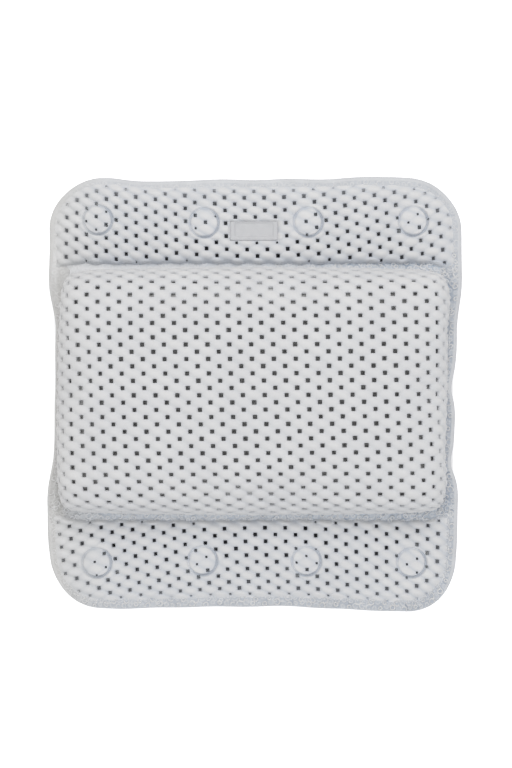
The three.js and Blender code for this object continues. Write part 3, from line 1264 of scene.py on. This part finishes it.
@dataclass(frozen=True)
class Swelling:
    """Cloth simulation in which a slack cover, welded down along its foot, fills out over its filling."""

    cells: tuple[int, int] = (96, 66)
    pressure: float = 0.8
    stiffness: float = 15.0
    frames: int = 20
    limit: float = 5 * MM

    def run(self, form: "CushionForm") -> Array:
        """Simulates a coarse sheet of the cover.

        Args:
            form: The slack cover.

        Returns:
            Moves of the sheet's points, by column and row.
        """
        bm = new_grid(*self.cells)
        spot = spots(bm.verts)
        start = form.shape(*form.along(*spot))
        move_to(bm.verts, start)
        foot = [number for number, vert in enumerate(bm.verts) if vert.is_boundary]
        mesh = bpy.data.meshes.new("slack_cover")
        bm.to_mesh(mesh)
        bm.free()
        sheet = bpy.data.objects.new("slack_cover", mesh)
        bpy.context.scene.collection.objects.link(sheet)
        sheet.vertex_groups.new(name="foot").add(foot, 1.0, "REPLACE")
        moves = self.simulate(sheet) - start
        bpy.data.objects.remove(sheet)
        bpy.data.meshes.remove(mesh)
        length = np.maximum(np.linalg.norm(moves, axis=1, keepdims=True), 1e-9)
        column, row = np.rint((spot + 1) / 2 * np.array(self.cells)[:, None]).astype(int)
        table = np.zeros((self.cells[0] + 1, self.cells[1] + 1, 3))
        table[column, row] = moves * self.limit * np.tanh(length / self.limit) / length
        LOG.info("slack cover: swells by up to %.1f mm", length.max() / MM)
        return table

    def simulate(self, sheet: Object) -> Array:
        """Blows a sheet out and hands back its points.

        Args:
            sheet: Sheet with a vertex group that holds its foot.

        Returns:
            Points of the sheet at the last frame.
        """
        cloth = sheet.modifiers.new("swelling", "CLOTH")
        settings = cloth.settings
        settings.vertex_group_mass = "foot"
        settings.use_pressure = True
        settings.uniform_pressure_force = self.pressure
        settings.effector_weights.gravity = 0.0
        settings.tension_stiffness = self.stiffness
        settings.compression_stiffness = self.stiffness
        settings.shear_stiffness = self.stiffness / 3
        cloth.point_cache.frame_start = 1
        cloth.point_cache.frame_end = self.frames
        scene = bpy.context.scene
        for number in range(1, self.frames + 1):
            scene.frame_set(number)
        blown = sheet.evaluated_get(bpy.context.evaluated_depsgraph_get()).data
        points = np.empty(3 * len(blown.vertices))
        blown.vertices.foreach_get("co", points)
        scene.frame_set(1)
        return points.reshape(-1, 3)


@dataclass
class CushionForm:
    """One face of the filled cushion: a crowned pillow on a rounded wall."""

    plan: PillowPlan
    middle_y: float
    half_x: float
    half_y: float
    height: float
    crown: float
    reach: float = 28 * MM
    exponent: float = 2.6
    facing: int = 1
    side_fill: float = 4 * MM
    corner_pull: float = 6 * MM
    corner_run: float = 13 * MM
    left_bulge: float = 1.9 * MM
    left_span: Pair = (24 * MM, 8 * MM)
    right_tuck: float = 3 * MM
    right_span: Pair = (12 * MM, 0.0)
    right_run: Pair = (74 * MM, 44 * MM)
    top_bulge: float = 1.7 * MM
    top_span: Pair = (26 * MM, 6 * MM)
    low_bulge: float = 1.1 * MM
    low_rise: float = 9 * MM
    low_width: float = 8 * MM
    normal_step: float = 0.6 * MM
    moves: Array | None = None
    roll_x: Roll = field(init=False)
    roll_y: Roll = field(init=False)

    def __post_init__(self) -> None:
        """Measures the two rolls."""
        self.roll_x = Roll(self.half_x, self.reach - self.side_fill, self.height, self.exponent)
        self.roll_y = Roll(self.half_y, self.reach, self.height, self.exponent)

    def along(self, share_x: Array, share_y: Array) -> tuple[Array, Array]:
        """Turns shares of the way from the middle to the foot into distances along the surface."""
        return share_x * self.roll_x.total, share_y * self.roll_y.total

    def from_foot(self, along_x: Array, along_y: Array) -> Array:
        """Measures the distance up the wall from the foot."""
        return np.minimum(self.roll_x.from_foot(along_x), self.roll_y.from_foot(along_y))

    def leaned(self, x: Array, y: Array) -> tuple[Array, Array]:
        """Rounds the foot at its corners and pushes the walls out, or in between the corners on the right.

        Args:
            x: Distance from the middle across the pillow.
            y: Distance from the middle up the pillow.

        Returns:
            The same, pushed.
        """
        short = np.abs(x) - self.half_x + np.abs(y) - self.half_y
        pull = self.corner_pull * np.exp(short / self.corner_run)
        x, y = x - np.sign(x) * pull, y - np.sign(y) * pull
        near_left, near_right, near_top = (
            smoothstep(half - span[0], half - span[1], place)
            for half, span, place in (
                (self.half_x, self.left_span, -x),
                (self.half_x, self.right_span, x),
                (self.half_y, self.top_span, y),
            )
        )
        left = self.left_bulge * near_left
        right = self.right_tuck * near_right * smoothstep(*self.right_run, np.abs(y))
        low = self.low_bulge * hump(y, self.low_rise - self.half_y, self.low_width)
        return x - left - right, y + self.top_bulge * near_top - low

    def shape(self, along_x: Array, along_y: Array) -> Array:
        """Finds points on the face before any swelling.

        Args:
            along_x: Distance along the surface across the pillow.
            along_y: Distance along the surface up the pillow.

        Returns:
            Points.
        """
        x, rise_x, under_x = self.roll_x.place(along_x)
        y, rise_y, under_y = self.roll_y.place(along_y)
        dome = (1 - (x / self.half_x) ** 2) * (1 - (y / self.half_y) ** 2)
        up = self.height * rise_x * rise_y + self.crown * dome - under_x - under_y
        x, y = self.leaned(x, y)
        bent_x, bent_y = self.plan.bend(x, self.middle_y + y, pocket=True)
        return np.column_stack([bent_x, bent_y, self.plan.fold_height + self.facing * up])

    def swollen(self, share_x: Array, share_y: Array) -> Array:
        """Reads the moves of the simulated cover between its points, by quadratic splines.

        Args:
            share_x: Share of the way from the middle to the foot across the pillow.
            share_y: Share of the way up the pillow.

        Returns:
            Moves.
        """
        nearest, weights = [], []
        for share, size in zip((share_x, share_y), self.moves.shape):
            place = (np.clip(share, -1, 1) + 1) / 2 * (size - 1)
            middle = np.clip(np.rint(place), 1, size - 2).astype(int)
            off = place - middle
            nearest.append(middle)
            weights.append((0.5 * (0.5 - off) ** 2, 0.75 - off**2, 0.5 * (0.5 + off) ** 2))
        total = np.zeros((len(share_x), 3))
        for over, weight_x in enumerate(weights[0], -1):
            for up, weight_y in enumerate(weights[1], -1):
                total += (weight_x * weight_y)[:, None] * self.moves[nearest[0] + over, nearest[1] + up]
        return total

    def point(self, along_x: Array, along_y: Array) -> Array:
        """Finds points on the face, with its swelling where it has one.

        Args:
            along_x: Distance along the surface across the pillow.
            along_y: Distance along the surface up the pillow.

        Returns:
            Points.
        """
        place = self.shape(along_x, along_y)
        if self.moves is None:
            return place
        return place + self.swollen(along_x / self.roll_x.total, along_y / self.roll_y.total)

    def normal(self, along_x: Array, along_y: Array) -> Array:
        """Finds outward normals by stepping along the surface.

        Args:
            along_x: Distance along the surface across the pillow.
            along_y: Distance along the surface up the pillow.

        Returns:
            Unit normals.
        """
        step = self.normal_step
        over = self.point(along_x + step, along_y) - self.point(along_x - step, along_y)
        up = self.point(along_x, along_y + step) - self.point(along_x, along_y - step)
        normal = self.facing * np.cross(over, up)
        return normal / np.maximum(np.linalg.norm(normal, axis=1, keepdims=True), 1e-12)


@dataclass
class CushionNet(FoamNet):
    """Net drawn over one face of the cushion, whose sheet coordinates run along the surface."""

    hole_half: Pair = (1.62 * MM, 1.62 * MM)
    form: CushionForm | None = None
    crest: float = 1.9 * MM
    mean_relief: float = 0.7
    thickness: float = 3 * MM
    foot_end: float = 0.9 * MM
    foot_span: Pair = (-1 * MM, 9 * MM)
    foot_closing: Pair = (0.0, 11 * MM)
    right_closing: Pair = (22 * MM, 34 * MM)
    # Faint painted groove shade on the cushion.
    pale_tint: Pair = (0.34, 0.48)

    def covers(self, x: Array, y: Array) -> Array:
        """Tells where on the sheet the net exists."""
        return self.form.from_foot(x, y) > -self.foot_end

    def openness(self, x: Array, y: Array) -> Array:
        """Gives the size of a hole at a place, from 0 for a dent to 1."""
        right = smoothstep(*self.right_closing, self.form.roll_x.total - x)
        return right * smoothstep(*self.foot_closing, self.form.from_foot(x, y))

    def dulled(self, x: Array, y: Array, relief: Array) -> Array:
        """Gives the relief by which the finish darkens with painted shade, kept slight on the cushion."""
        return self.pale_tint[0] + self.pale_tint[1] * relief

    def skins(self, x: Array, y: Array, relief: Array) -> tuple[Array, Array]:
        """Gives the points of the outer and the inner skin.

        Args:
            x: Sheet coordinate.
            y: Sheet coordinate.
            relief: Lozenge height.

        Returns:
            Outer and inner points.
        """
        point, normal = self.form.point(x, y), self.form.normal(x, y)
        full = smoothstep(*self.foot_span, self.form.from_foot(x, y))
        swell = full * self.crest * (relief - self.mean_relief)
        return point + normal * swell[:, None], point - normal * self.thickness


@dataclass
class FillingBlock(Shape):
    """Foam block inside the cushion: a crowned front joined to a shallow back at its rim."""

    front: CushionForm
    back_depth: float
    cells: tuple[int, int] = (96, 72)

    def model(self) -> Mesh:
        """Models the block.

        Returns:
            Its mesh.
        """
        front = self.front
        bm = bmesh.new()
        for facing, depth, crown in ((1, front.height, front.crown), (-1, self.back_depth, 0.0)):
            columns, rows = self.cells
            made = bmesh.ops.create_grid(bm, x_segments=columns, y_segments=rows, size=1)["verts"]
            share_x, share_y = spots(made)
            along_x, along_y = front.along(share_x, share_y)
            places = front.point(along_x, along_y)
            _, rise_x, _ = front.roll_x.place(along_x)
            _, rise_y, _ = front.roll_y.place(along_y)
            dome = (1 - share_x**2) * (1 - share_y**2)
            places[:, 2] = front.plan.fold_height + facing * (depth * rise_x * rise_y + crown * dome)
            move_to(made, places)
        bmesh.ops.remove_doubles(bm, verts=list(bm.verts), dist=MERGE)
        return bm


@dataclass
class PressedRings:
    """Staggered rows of little rings that the welding tool leaves in a band."""

    rows: tuple[float, ...] = (1.9 * MM, 5.5 * MM, 9.1 * MM, 12.7 * MM)
    pitch: float = 5.0 * MM
    radius: float = 1.8 * MM
    width: float = 0.55 * MM
    dish: float = -0.3
    gap: float = 0.8
    smear: float = 0.24 * MM
    wander: float = 0.9 * MM

    def height(self, along: Array, across: Array) -> Array:
        """Gives the relief of the rings, whose places, sizes and strengths vary from one to the next.

        Args:
            along: Distance along the band.
            across: Distance across it.

        Returns:
            Heights from below 0 between the rings to about 1 on their rims.
        """
        along = along + self.smear * np.sin(across / (1.3 * MM) + 2 * np.sin(along / (7 * MM)))
        across = across + self.smear * np.sin(along / (1.9 * MM) + 1.4 * np.sin(along / (11 * MM)))
        total = np.full_like(along, -self.gap)
        for number, row in enumerate(self.rows):
            turn = along / self.pitch + 0.5 * number
            count = np.floor(turn)
            shift = self.wander * np.sin(12.9 * count + 4.1 * number)
            lift = self.wander * np.sin(7.7 * count + 1.9 * number)
            radius = self.radius * (1 + 0.25 * np.sin(5.3 * count + number))
            away = np.hypot((turn - count - 0.5) * self.pitch + shift, across - row + lift)
            floor = np.where(away < radius, self.dish, -self.gap)
            ring = floor + (1 - floor) * hump(away, radius, self.width)
            strength = 0.62 + 0.38 * np.sin(9.1 * count + 2.7 * number)
            total = np.maximum(total, ring * strength)
        return total


@dataclass
class WeldBand(Shape):
    """A pressed band, swept from a grid whose columns run along it and whose rows go round its section."""

    plan: PillowPlan
    rings: PressedRings = field(default_factory=PressedRings)
    thickness: float = 2.4 * MM
    width: float = 11.6 * MM
    lip: float = 3.2 * MM
    lip_relief: float = 0.15
    lip_blend: float = 0.6 * MM
    hem: Pair = (5.5 * MM, 8.2 * MM)
    # Lowers the band's inner side a little and darkens it there with painted shade.
    hem_depth: float = 0.35
    front_rows: int = 30
    back_rows: int = 8
    step: float = 0.48 * MM
    edge_round: float = 4 * MM
    edge_plain: float = 1.2 * MM
    inner_round: float = 2 * MM
    ring_height: float = 0.7 * MM
    crease_shade: float = 0.0
    crease_span: Pair = (6.5 * MM, 2 * MM)
    start: float = 0.0

    @abstractmethod
    def length(self) -> float:
        """Gives the length of the band."""

    def widths(self, along: Array) -> Array:
        """Gives the width of the band along its length."""
        return np.full_like(along, self.width)

    @abstractmethod
    def points(self, along: Array, across: Array, up: Array) -> Array:
        """Puts points of the band, given along it, across it and over its middle, into the pillow."""

    def model(self) -> Mesh:
        """Models the band.

        Returns:
            Its mesh, with the relief on its points.
        """
        rows = self.front_rows + self.back_rows
        bm = new_grid(math.ceil(self.length() / self.step), rows)
        share_x, share_y = spots(bm.verts)
        along = (share_x + 1) / 2 * self.length()
        row = np.rint((share_y + 1) / 2 * rows)
        front = row <= self.front_rows
        width = self.widths(along)
        across = width * np.where(front, row / self.front_rows, (rows - row) / self.back_rows)
        brim = np.minimum(across / self.edge_round, (width - across) / self.inner_round)
        flat = self.points(along, across, np.zeros_like(along))
        shade_and_press, strike, plain = self.plan.weld_marks(flat[:, 0], flat[:, 1])
        lip = self.lip * plain
        ringed = smoothstep(-self.lip_blend, self.lip_blend, across - lip)
        rings = self.rings.height(along + self.start, across - lip) * strike
        relief = self.lip_relief * (1 - ringed) + rings * ringed
        # The hem lowers the inner side of the band a little and darkens it with painted shade.
        relief = relief - self.hem_depth * smoothstep(*self.hem, across)
        relief = relief * smoothstep(0.0, self.edge_plain, across) * front
        up = np.where(front, 1, -1) * self.thickness / 2 * round_off(brim)
        up = up + self.ring_height * relief * (1 + shade_and_press / 2)
        # The tint carries the painted shade: ring hollows, the shade laid on from place to place and the
        # crease beside the flap.
        tint = relief - shade_and_press * ringed - self.crease_shade * smoothstep(*self.crease_span, across)
        height = bm.verts.layers.float.new("relief")
        for vert, value in zip(bm.verts, tint):
            vert[height] = value
        move_to(bm.verts, self.points(along, across, up))
        bmesh.ops.remove_doubles(bm, verts=list(bm.verts), dist=MERGE)
        ends = [edge for edge in bm.edges if edge.is_boundary]
        for edge in ends:
            edge.smooth = False
        bmesh.ops.holes_fill(bm, edges=ends, sides=0)
        return bm


@dataclass
class EdgeBand(WeldBand):
    """Stretch of the band round the pillow's outline."""

    end: float = 0.0
    net_overlap: float = 1.0 * MM
    corner_spread: float = 5 * MM
    seam_span: Pair = (1.0 * MM, -5 * MM)

    def length(self) -> float:
        """Gives the length of the band."""
        return self.end - self.start

    def widths(self, along: Array) -> Array:
        """Gives the width of the band, which ends at a flap's net and runs under the foot of the cushion.

        Args:
            along: Distance along the stretch.

        Returns:
            Widths.
        """
        x, y = self.plan.outline(along + self.start, np.zeros_like(along))
        slim = self.plan.band_edge(x, y) + self.net_overlap
        wide = self.width + self.corner_spread * (1 - self.plan.flank(y))
        fold = np.where(y > 0, *(abs(self.plan.folds[side].y) for side in Side))
        return slim + smoothstep(*self.seam_span, np.abs(y) - fold) * (wide - slim)

    def points(self, along: Array, across: Array, up: Array) -> Array:
        """Puts points, given along the band, in from its edge and over its middle, into the pillow."""
        x, y = self.plan.bend(*self.plan.outline(along + self.start, across))
        return np.column_stack([x, y, self.plan.fold_height + up])


@dataclass
class SeamBand(WeldBand):
    """Band along the fold between the cushion and one flap, drawn into the edge bands at its ends."""

    thickness: float = 2 * MM
    width: float = 15 * MM
    lip: float = 0.0
    hem_depth: float = 0.0
    front_rows: int = 36
    edge_round: float = 2.4 * MM
    ring_height: float = 0.9 * MM
    side: Side = Side.UPPER
    overhang: float = 3 * MM
    end_gap: float = 3.5 * MM
    end_taper: Pair = (32 * MM, 6 * MM)
    end_drop: float = 0.6 * MM
    edge_dip: float = 2.8 * MM
    dip_span: Pair = (7.5 * MM, 2.5 * MM)
    edge_tuck: float = 1.4 * MM
    tuck_width: float = 2.4 * MM
    wave: float = 0.3 * MM
    wave_length: float = 11 * MM

    def length(self) -> float:
        """Gives the length of the band."""
        return 2 * (self.plan.half_width - self.end_gap)

    def points(self, along: Array, across: Array, up: Array) -> Array:
        """Puts points of the band into the pillow.

        Args:
            along: Distance along the seam from the left.
            across: Distance back from the edge beside the flap.
            up: Height over the band's middle.

        Returns:
            Points.
        """
        x = along - self.length() / 2
        first, last = (self.length() / 2 - taper for taper in self.end_taper)
        close = smoothstep(first, last, np.abs(x))
        out = abs(self.plan.folds[self.side].y) + self.overhang - across - self.plan.seam_drift(x)
        out = out + self.wave * np.sin(x / self.wave_length + self.side.value)
        dip = self.edge_dip * smoothstep(*self.dip_span, across)
        dip = (1 - close) * (dip + self.edge_tuck * smoothstep(self.tuck_width, 0.0, across))
        bent_x, bent_y = self.plan.bend(x, self.side.value * out)
        level = self.plan.fold_height + up - dip - self.end_drop * close
        return np.column_stack([bent_x, bent_y, level])


@dataclass
class Cushion:
    """The filled pocket in the middle: cover, back, filling, side bands and the two seams."""

    plan: PillowPlan
    net: NetFinish
    band: BandFinish
    seam: BandFinish
    filling: FillingFinish
    foot_gap: Pair = (0.4 * MM, -0.9 * MM)
    rise: float = 36 * MM
    crown: float = 4 * MM
    slack_crown: float = 1 * MM
    back_depth: float = 12.6 * MM
    back_reach: float = 45 * MM
    back_exponent: float = 2.2
    back_crest: float = 1.2 * MM
    back_seed: int = 19
    filling_gap: float = 5.6 * MM
    fold_run: float = 4 * MM

    def footprint(self, gap: float = 0.0) -> tuple[float, float, float]:
        """Measures the pocket's foot.

        Args:
            gap: How far it is drawn in.

        Returns:
            Its middle up the pillow, half width and half length.
        """
        low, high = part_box("cushion_front_cover")
        half_y = (high.y - low.y) / 2
        return (low.y + high.y) / 2, high.x + self.foot_gap[0] - gap, half_y + self.foot_gap[1] - gap

    def build(self) -> None:
        self.build_cover()
        self.build_back()
        self.build_filling()
        self.build_side_bands()
        for side in Side:
            self.build_seam(side)

    def build_cover(self) -> None:
        """Builds the net over the front."""
        form = CushionForm(self.plan, *self.footprint(), self.rise, self.slack_crown)
        form.moves = Swelling().run(form)
        net = CushionNet(self.plan, COVER_LATTICE, form.along(1, 1), form=form)
        piece = net.build("front_cover_net", self.net, "cushion_front_cover")
        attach(piece, "cushion")

    def build_back(self) -> None:
        """Builds the net under the back."""
        form = CushionForm(
            self.plan,
            *self.footprint(),
            self.back_depth,
            crown=0.0,
            reach=self.back_reach,
            exponent=self.back_exponent,
            facing=-1,
        )
        net = CushionNet(self.plan, BACK_LATTICE, form.along(1, 1), form=form)
        net.crest, net.seed = self.back_crest, self.back_seed
        piece = net.build("back_panel_net", self.net, "cushion_back_panel")
        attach(piece, "cushion")

    def build_filling(self) -> None:
        """Builds the foam block inside."""
        gap = self.filling_gap
        front = CushionForm(self.plan, *self.footprint(gap), self.rise - gap, self.crown)
        piece = FillingBlock(front, self.back_depth - gap).build("filling_block", self.filling, "foam_core")
        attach(piece, "cushion")

    def build_side_bands(self) -> None:
        """Builds the edge bands beside the pocket."""
        for label, middle in (("right", 0.0), ("left", self.plan.half_loop)):
            band = EdgeBand(self.plan, start=middle - self.plan.splice, end=middle + self.plan.splice)
            piece = band.build(f"{label}_band", self.band, f"{label}_edge_band")
            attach(piece, "cushion")

    def build_seam(self, side: Side) -> None:
        """Builds the seam along one fold.

        Args:
            side: Flap that the fold leads to.
        """
        fit = FLAP_FITS[side]
        seam = SeamBand(self.plan, side=side, crease_shade=fit.seam_shade, edge_dip=fit.seam_dip)
        piece = seam.build(f"{side.label}_seam", self.seam, f"{side.label}_seam_band")
        self.plan.blend(piece, side, self.fold_run)


@dataclass
class Cup(Shape):
    """One-piece moulded suction cup: a hollow bell on a neck with a flat base."""

    middle: Vector
    height: float = 12 * MM
    mouth: float = 18 * MM
    hollow: float = 6.5 * MM
    rim: float = 1.6 * MM
    rim_round: Pair = (0.4 * MM, 0.35 * MM)
    lip: float = 0.9 * MM
    shoulder: float = 8.6 * MM
    neck: float = 6.5 * MM
    base: float = 13.5 * MM
    base_thickness: float = 1.6 * MM
    soft: float = 0.45 * MM
    turns: int = 56
    merge: float = 0.005 * MM
    sharp_angle: ClassVar[float] = 50.0

    def profile(self) -> list[Pair]:
        """Lists the half section from the middle of the hollow round to the middle of the base.

        Returns:
            Radii and heights.
        """
        inside = [((self.mouth - self.rim) * s, self.hollow * (1 - s**2)) for s in np.linspace(0, 1, 14)]
        lip = [(self.mouth - self.rim_round[0], 0.0), (self.mouth, self.rim_round[1])]
        bell = []
        for s in np.linspace(0, 1, 16):
            rise = (self.shoulder - self.lip) * math.sin(math.pi / 2 * s)
            bell.append((self.mouth + (self.neck - self.mouth) * s, self.lip + rise))
        under, soft = self.height - self.base_thickness, self.soft
        neck = [(self.neck, under - soft), (self.neck + soft, under)]
        foot = [(self.base - soft, under), (self.base, under + soft)]
        top = [(self.base, self.height - soft), (self.base - soft, self.height), (0.0, self.height)]
        return [*inside, *lip, *bell, *neck, *foot, *top]

    def model(self) -> Mesh:
        """Models the cup.

        Returns:
            Its mesh.
        """
        bm = bmesh.new()
        line = [bm.verts.new((radius, 0.0, height)) for radius, height in self.profile()]
        edges = [bm.edges.new(pair) for pair in zip(line, line[1:])]
        bmesh.ops.spin(
            bm,
            geom=line + edges,
            axis=(0, 0, 1),
            cent=(0, 0, 0),
            dvec=(0, 0, 0),
            angle=2 * math.pi,
            steps=self.turns,
            use_merge=True,
            use_duplicate=False,
        )
        bmesh.ops.remove_doubles(bm, verts=list(bm.verts), dist=self.merge)
        bmesh.ops.translate(bm, vec=(self.middle.x, self.middle.y, 0.0), verts=list(bm.verts))
        return bm


@dataclass
class Plate(Shape):
    """Bare plate with a raised frame, wider below than above, round a plain field."""

    step: float = 0.4 * MM
    soft_edge: float = 1.2 * MM
    edge_share: float = 0.55
    corner_pull: float = 0.5 * MM
    corner_power: int = 9
    margins: tuple[float, float, float, float] = (3.7 * MM, 3.7 * MM, 3.1 * MM, 1.3 * MM)
    field_depth: float = 0.8 * MM
    field_slope: float = 0.35 * MM
    sharp_angle: ClassVar[float] = 60.0

    def model(self) -> Mesh:
        """Presses the plate out of a grid in its CAD node's box.

        Returns:
            Its mesh.
        """
        low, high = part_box("bare_plate")
        half, middle = (high - low) / 2, (low + high) / 2
        bm = new_grid(*(math.ceil(2 * size / self.step) for size in (half.x, half.y)))
        share_x, share_y = spots(bm.verts)
        pulled = self.corner_pull * np.abs(share_x * share_y) ** self.corner_power
        x = middle.x + share_x * half.x - np.sign(share_x) * pulled
        y = middle.y + share_y * half.y - np.sign(share_y) * pulled
        inset = np.minimum(half.x - np.abs(share_x) * half.x, half.y - np.abs(share_y) * half.y)
        brim = self.edge_share + (1 - self.edge_share) * round_off(inset / self.soft_edge)
        left, right, bottom, top = self.margins
        sunk = np.min([x - low.x - left, high.x - right - x, y - low.y - bottom, high.y - top - y], axis=0)
        pressed = self.field_depth * smoothstep(-self.field_slope, self.field_slope, sunk)
        move_to(bm.verts, np.column_stack([x, y, low.z + 2 * half.z * brim - pressed]))
        for vert in thicken(bm):
            vert.co.z = low.z
        return bm


@dataclass
class Flap:
    """A flat flap: its net, its edge band, its four cups and, on the upper one, the bare plate."""

    plan: PillowPlan
    side: Side
    net: NetFinish
    band: BandFinish
    plate: VinylFinish = PLATE_VINYL
    cup: VinylFinish = CUP_VINYL
    reach: Pair = (175 * MM, 65 * MM)
    seed: int = 31
    fold_run: float = 9 * MM

    @property
    def fit(self) -> FlapFit:
        """What is particular to this flap."""
        return FLAP_FITS[self.side]

    def cup_nodes(self) -> list[str]:
        """Lists the CAD nodes of this flap's cups."""
        numbers = range(1, len(self.fit.ring_shifts) + 1)
        return [f"{self.side.label}_suction_cup_{number}" for number in numbers]

    def build(self) -> None:
        self.build_net()
        self.build_band()
        for node in self.cup_nodes():
            cup = Cup(node_middle(node)).build(node.replace("suction_", "clear_"), self.cup, node)
            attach(cup, self.side.body)
        if self.side is Side.UPPER:
            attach(Plate().build("bare_plate_vinyl", self.plate, "bare_plate"), self.side.body)

    def build_net(self) -> None:
        """Builds the net, whose pressed rings lie a little off the cups behind them."""
        shifts = zip(self.cup_nodes(), self.fit.ring_shifts)
        net = FlapNet(
            self.plan,
            self.fit.lattice,
            self.reach,
            seed=self.seed + self.side.value,
            side=self.side,
            rings=tuple(node_middle(node) + Vector((*shift, 0.0)) * MM for node, shift in shifts),
            crease_tint=self.fit.net_shade,
            seam_dip=self.fit.net_dip,
            plate=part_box("bare_plate") if self.side is Side.UPPER else None,
        )
        piece = net.build(f"{self.side.label}_net", self.net, f"{self.side.label}_flap_net")
        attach(piece, self.side.body)

    def build_band(self) -> None:
        """Builds the edge band, whose two ends pass the fold."""
        plan = self.plan
        first = 0.0 if self.side is Side.UPPER else plan.half_loop
        band = EdgeBand(plan, start=first + plan.splice, end=first + plan.half_loop - plan.splice)
        piece = band.build(f"{self.side.label}_band", self.band, f"{self.side.label}_edge_band")
        plan.blend(piece, self.side, self.fold_run)


@dataclass(frozen=True)
class Lamp:
    """Square lamp that faces the pillow."""

    name: str
    place: tuple[float, float, float]
    size: float
    power: float
    colour: Colour

    def hang(self) -> None:
        """Hangs the lamp."""
        lamp = bpy.data.lights.new(self.name, "AREA")
        lamp.size = self.size
        lamp.energy = self.power
        lamp.color = self.colour
        holder = bpy.data.objects.new(self.name, lamp)
        holder.location = self.place
        holder.rotation_euler = (-Vector(self.place)).to_track_quat("-Z", "Y").to_euler()
        bpy.context.scene.collection.objects.link(holder)


@dataclass
class Studio:
    """Pale floor, soft light from above, from both ends and the left, and the camera over the pillow."""

    floor_half: float = 2.5
    floor_drop: float = 0.4 * MM
    sky: Colour = (0.992, 0.993, 1.0)
    sky_strength: float = 0.65
    lamps: tuple[Lamp, ...] = (
        Lamp("key", (0.05, 0.95, 1.35), 0.7, 8.0, (1.0, 0.985, 0.97)),
        Lamp("warm", (-1.0, -0.1, 1.0), 1.0, 0.5, (1.0, 0.90, 0.74)),
        Lamp("cool", (0.2, -0.95, 1.2), 1.2, 4.15, (0.92, 0.96, 1.0)),
    )
    camera_place: tuple[float, float, float] = (1.548 * MM, 7.74 * MM, 741.3 * MM)
    lens: float = 44.03
    sensor: float = 36.0

    def build(self, plan: PillowPlan) -> None:
        """Builds the floor, the light and the camera.

        Args:
            plan: Outline of the pillow, for the shadow painted under it.
        """
        self.build_floor(plan)
        self.build_world()
        for lamp in self.lamps:
            lamp.hang()
        self.build_camera()

    def build_floor(self, plan: PillowPlan) -> None:
        """Builds the floor under the pillow.

        Args:
            plan: Outline of the pillow.
        """
        bm = new_grid(8, 8, self.floor_half)
        bmesh.ops.translate(bm, vec=(0.0, 0.0, -self.floor_drop), verts=list(bm.verts))
        finish = FloorFinish((plan.half_width, plan.half_length), plan.corner_radius)
        make_piece("studio_floor", bm, finish)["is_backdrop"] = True

    def build_world(self) -> None:
        """Gives the world an even, faintly cool light."""
        world = bpy.data.worlds.new("studio")
        world.use_nodes = True
        background = world.node_tree.nodes["Background"]
        background.inputs["Color"].default_value = (*self.sky, 1.0)
        background.inputs["Strength"].default_value = self.sky_strength
        bpy.context.scene.world = world

    def build_camera(self) -> None:
        """Hangs the camera straight over the pillow."""
        camera = bpy.data.cameras.new("camera")
        camera.sensor_fit = "VERTICAL"
        camera.sensor_height = self.sensor
        camera.lens = self.lens
        camera.clip_start = 0.01
        holder = bpy.data.objects.new("camera", camera)
        holder.location = self.camera_place
        bpy.context.scene.collection.objects.link(holder)
        bpy.context.scene.camera = holder


def main() -> None:
    """Builds the pillow and its studio."""
    logging.basicConfig(level=logging.INFO, format="%(message)s")
    bpy.context.scene.view_settings.view_transform = "Standard"
    cad_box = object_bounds()
    folds = {joint["child"]: Vector(joint["pos_m"]) for joint in frame["joints"]}
    plan = PillowPlan(cad_box[1].x, cad_box[1].y, {side: folds[side.body] for side in Side})
    net, band = NetFinish(), BandFinish()
    # The seams' finish is paler and bluer than the edge bands', with bluer painted shade in its hollows.
    seam = BandFinish(
        "pressed seam band",
        crest=(0.765, 0.772, 0.785),
        hollow=(0.42, 0.485, 0.57),
        relief_span=(-0.95, 0.5),
    )
    Cushion(plan, net, band, seam, FillingFinish()).build()
    for side in Side:
        Flap(plan, side, net, band).build()
    Studio().build(plan)


if __name__ == "__main__":
    main()
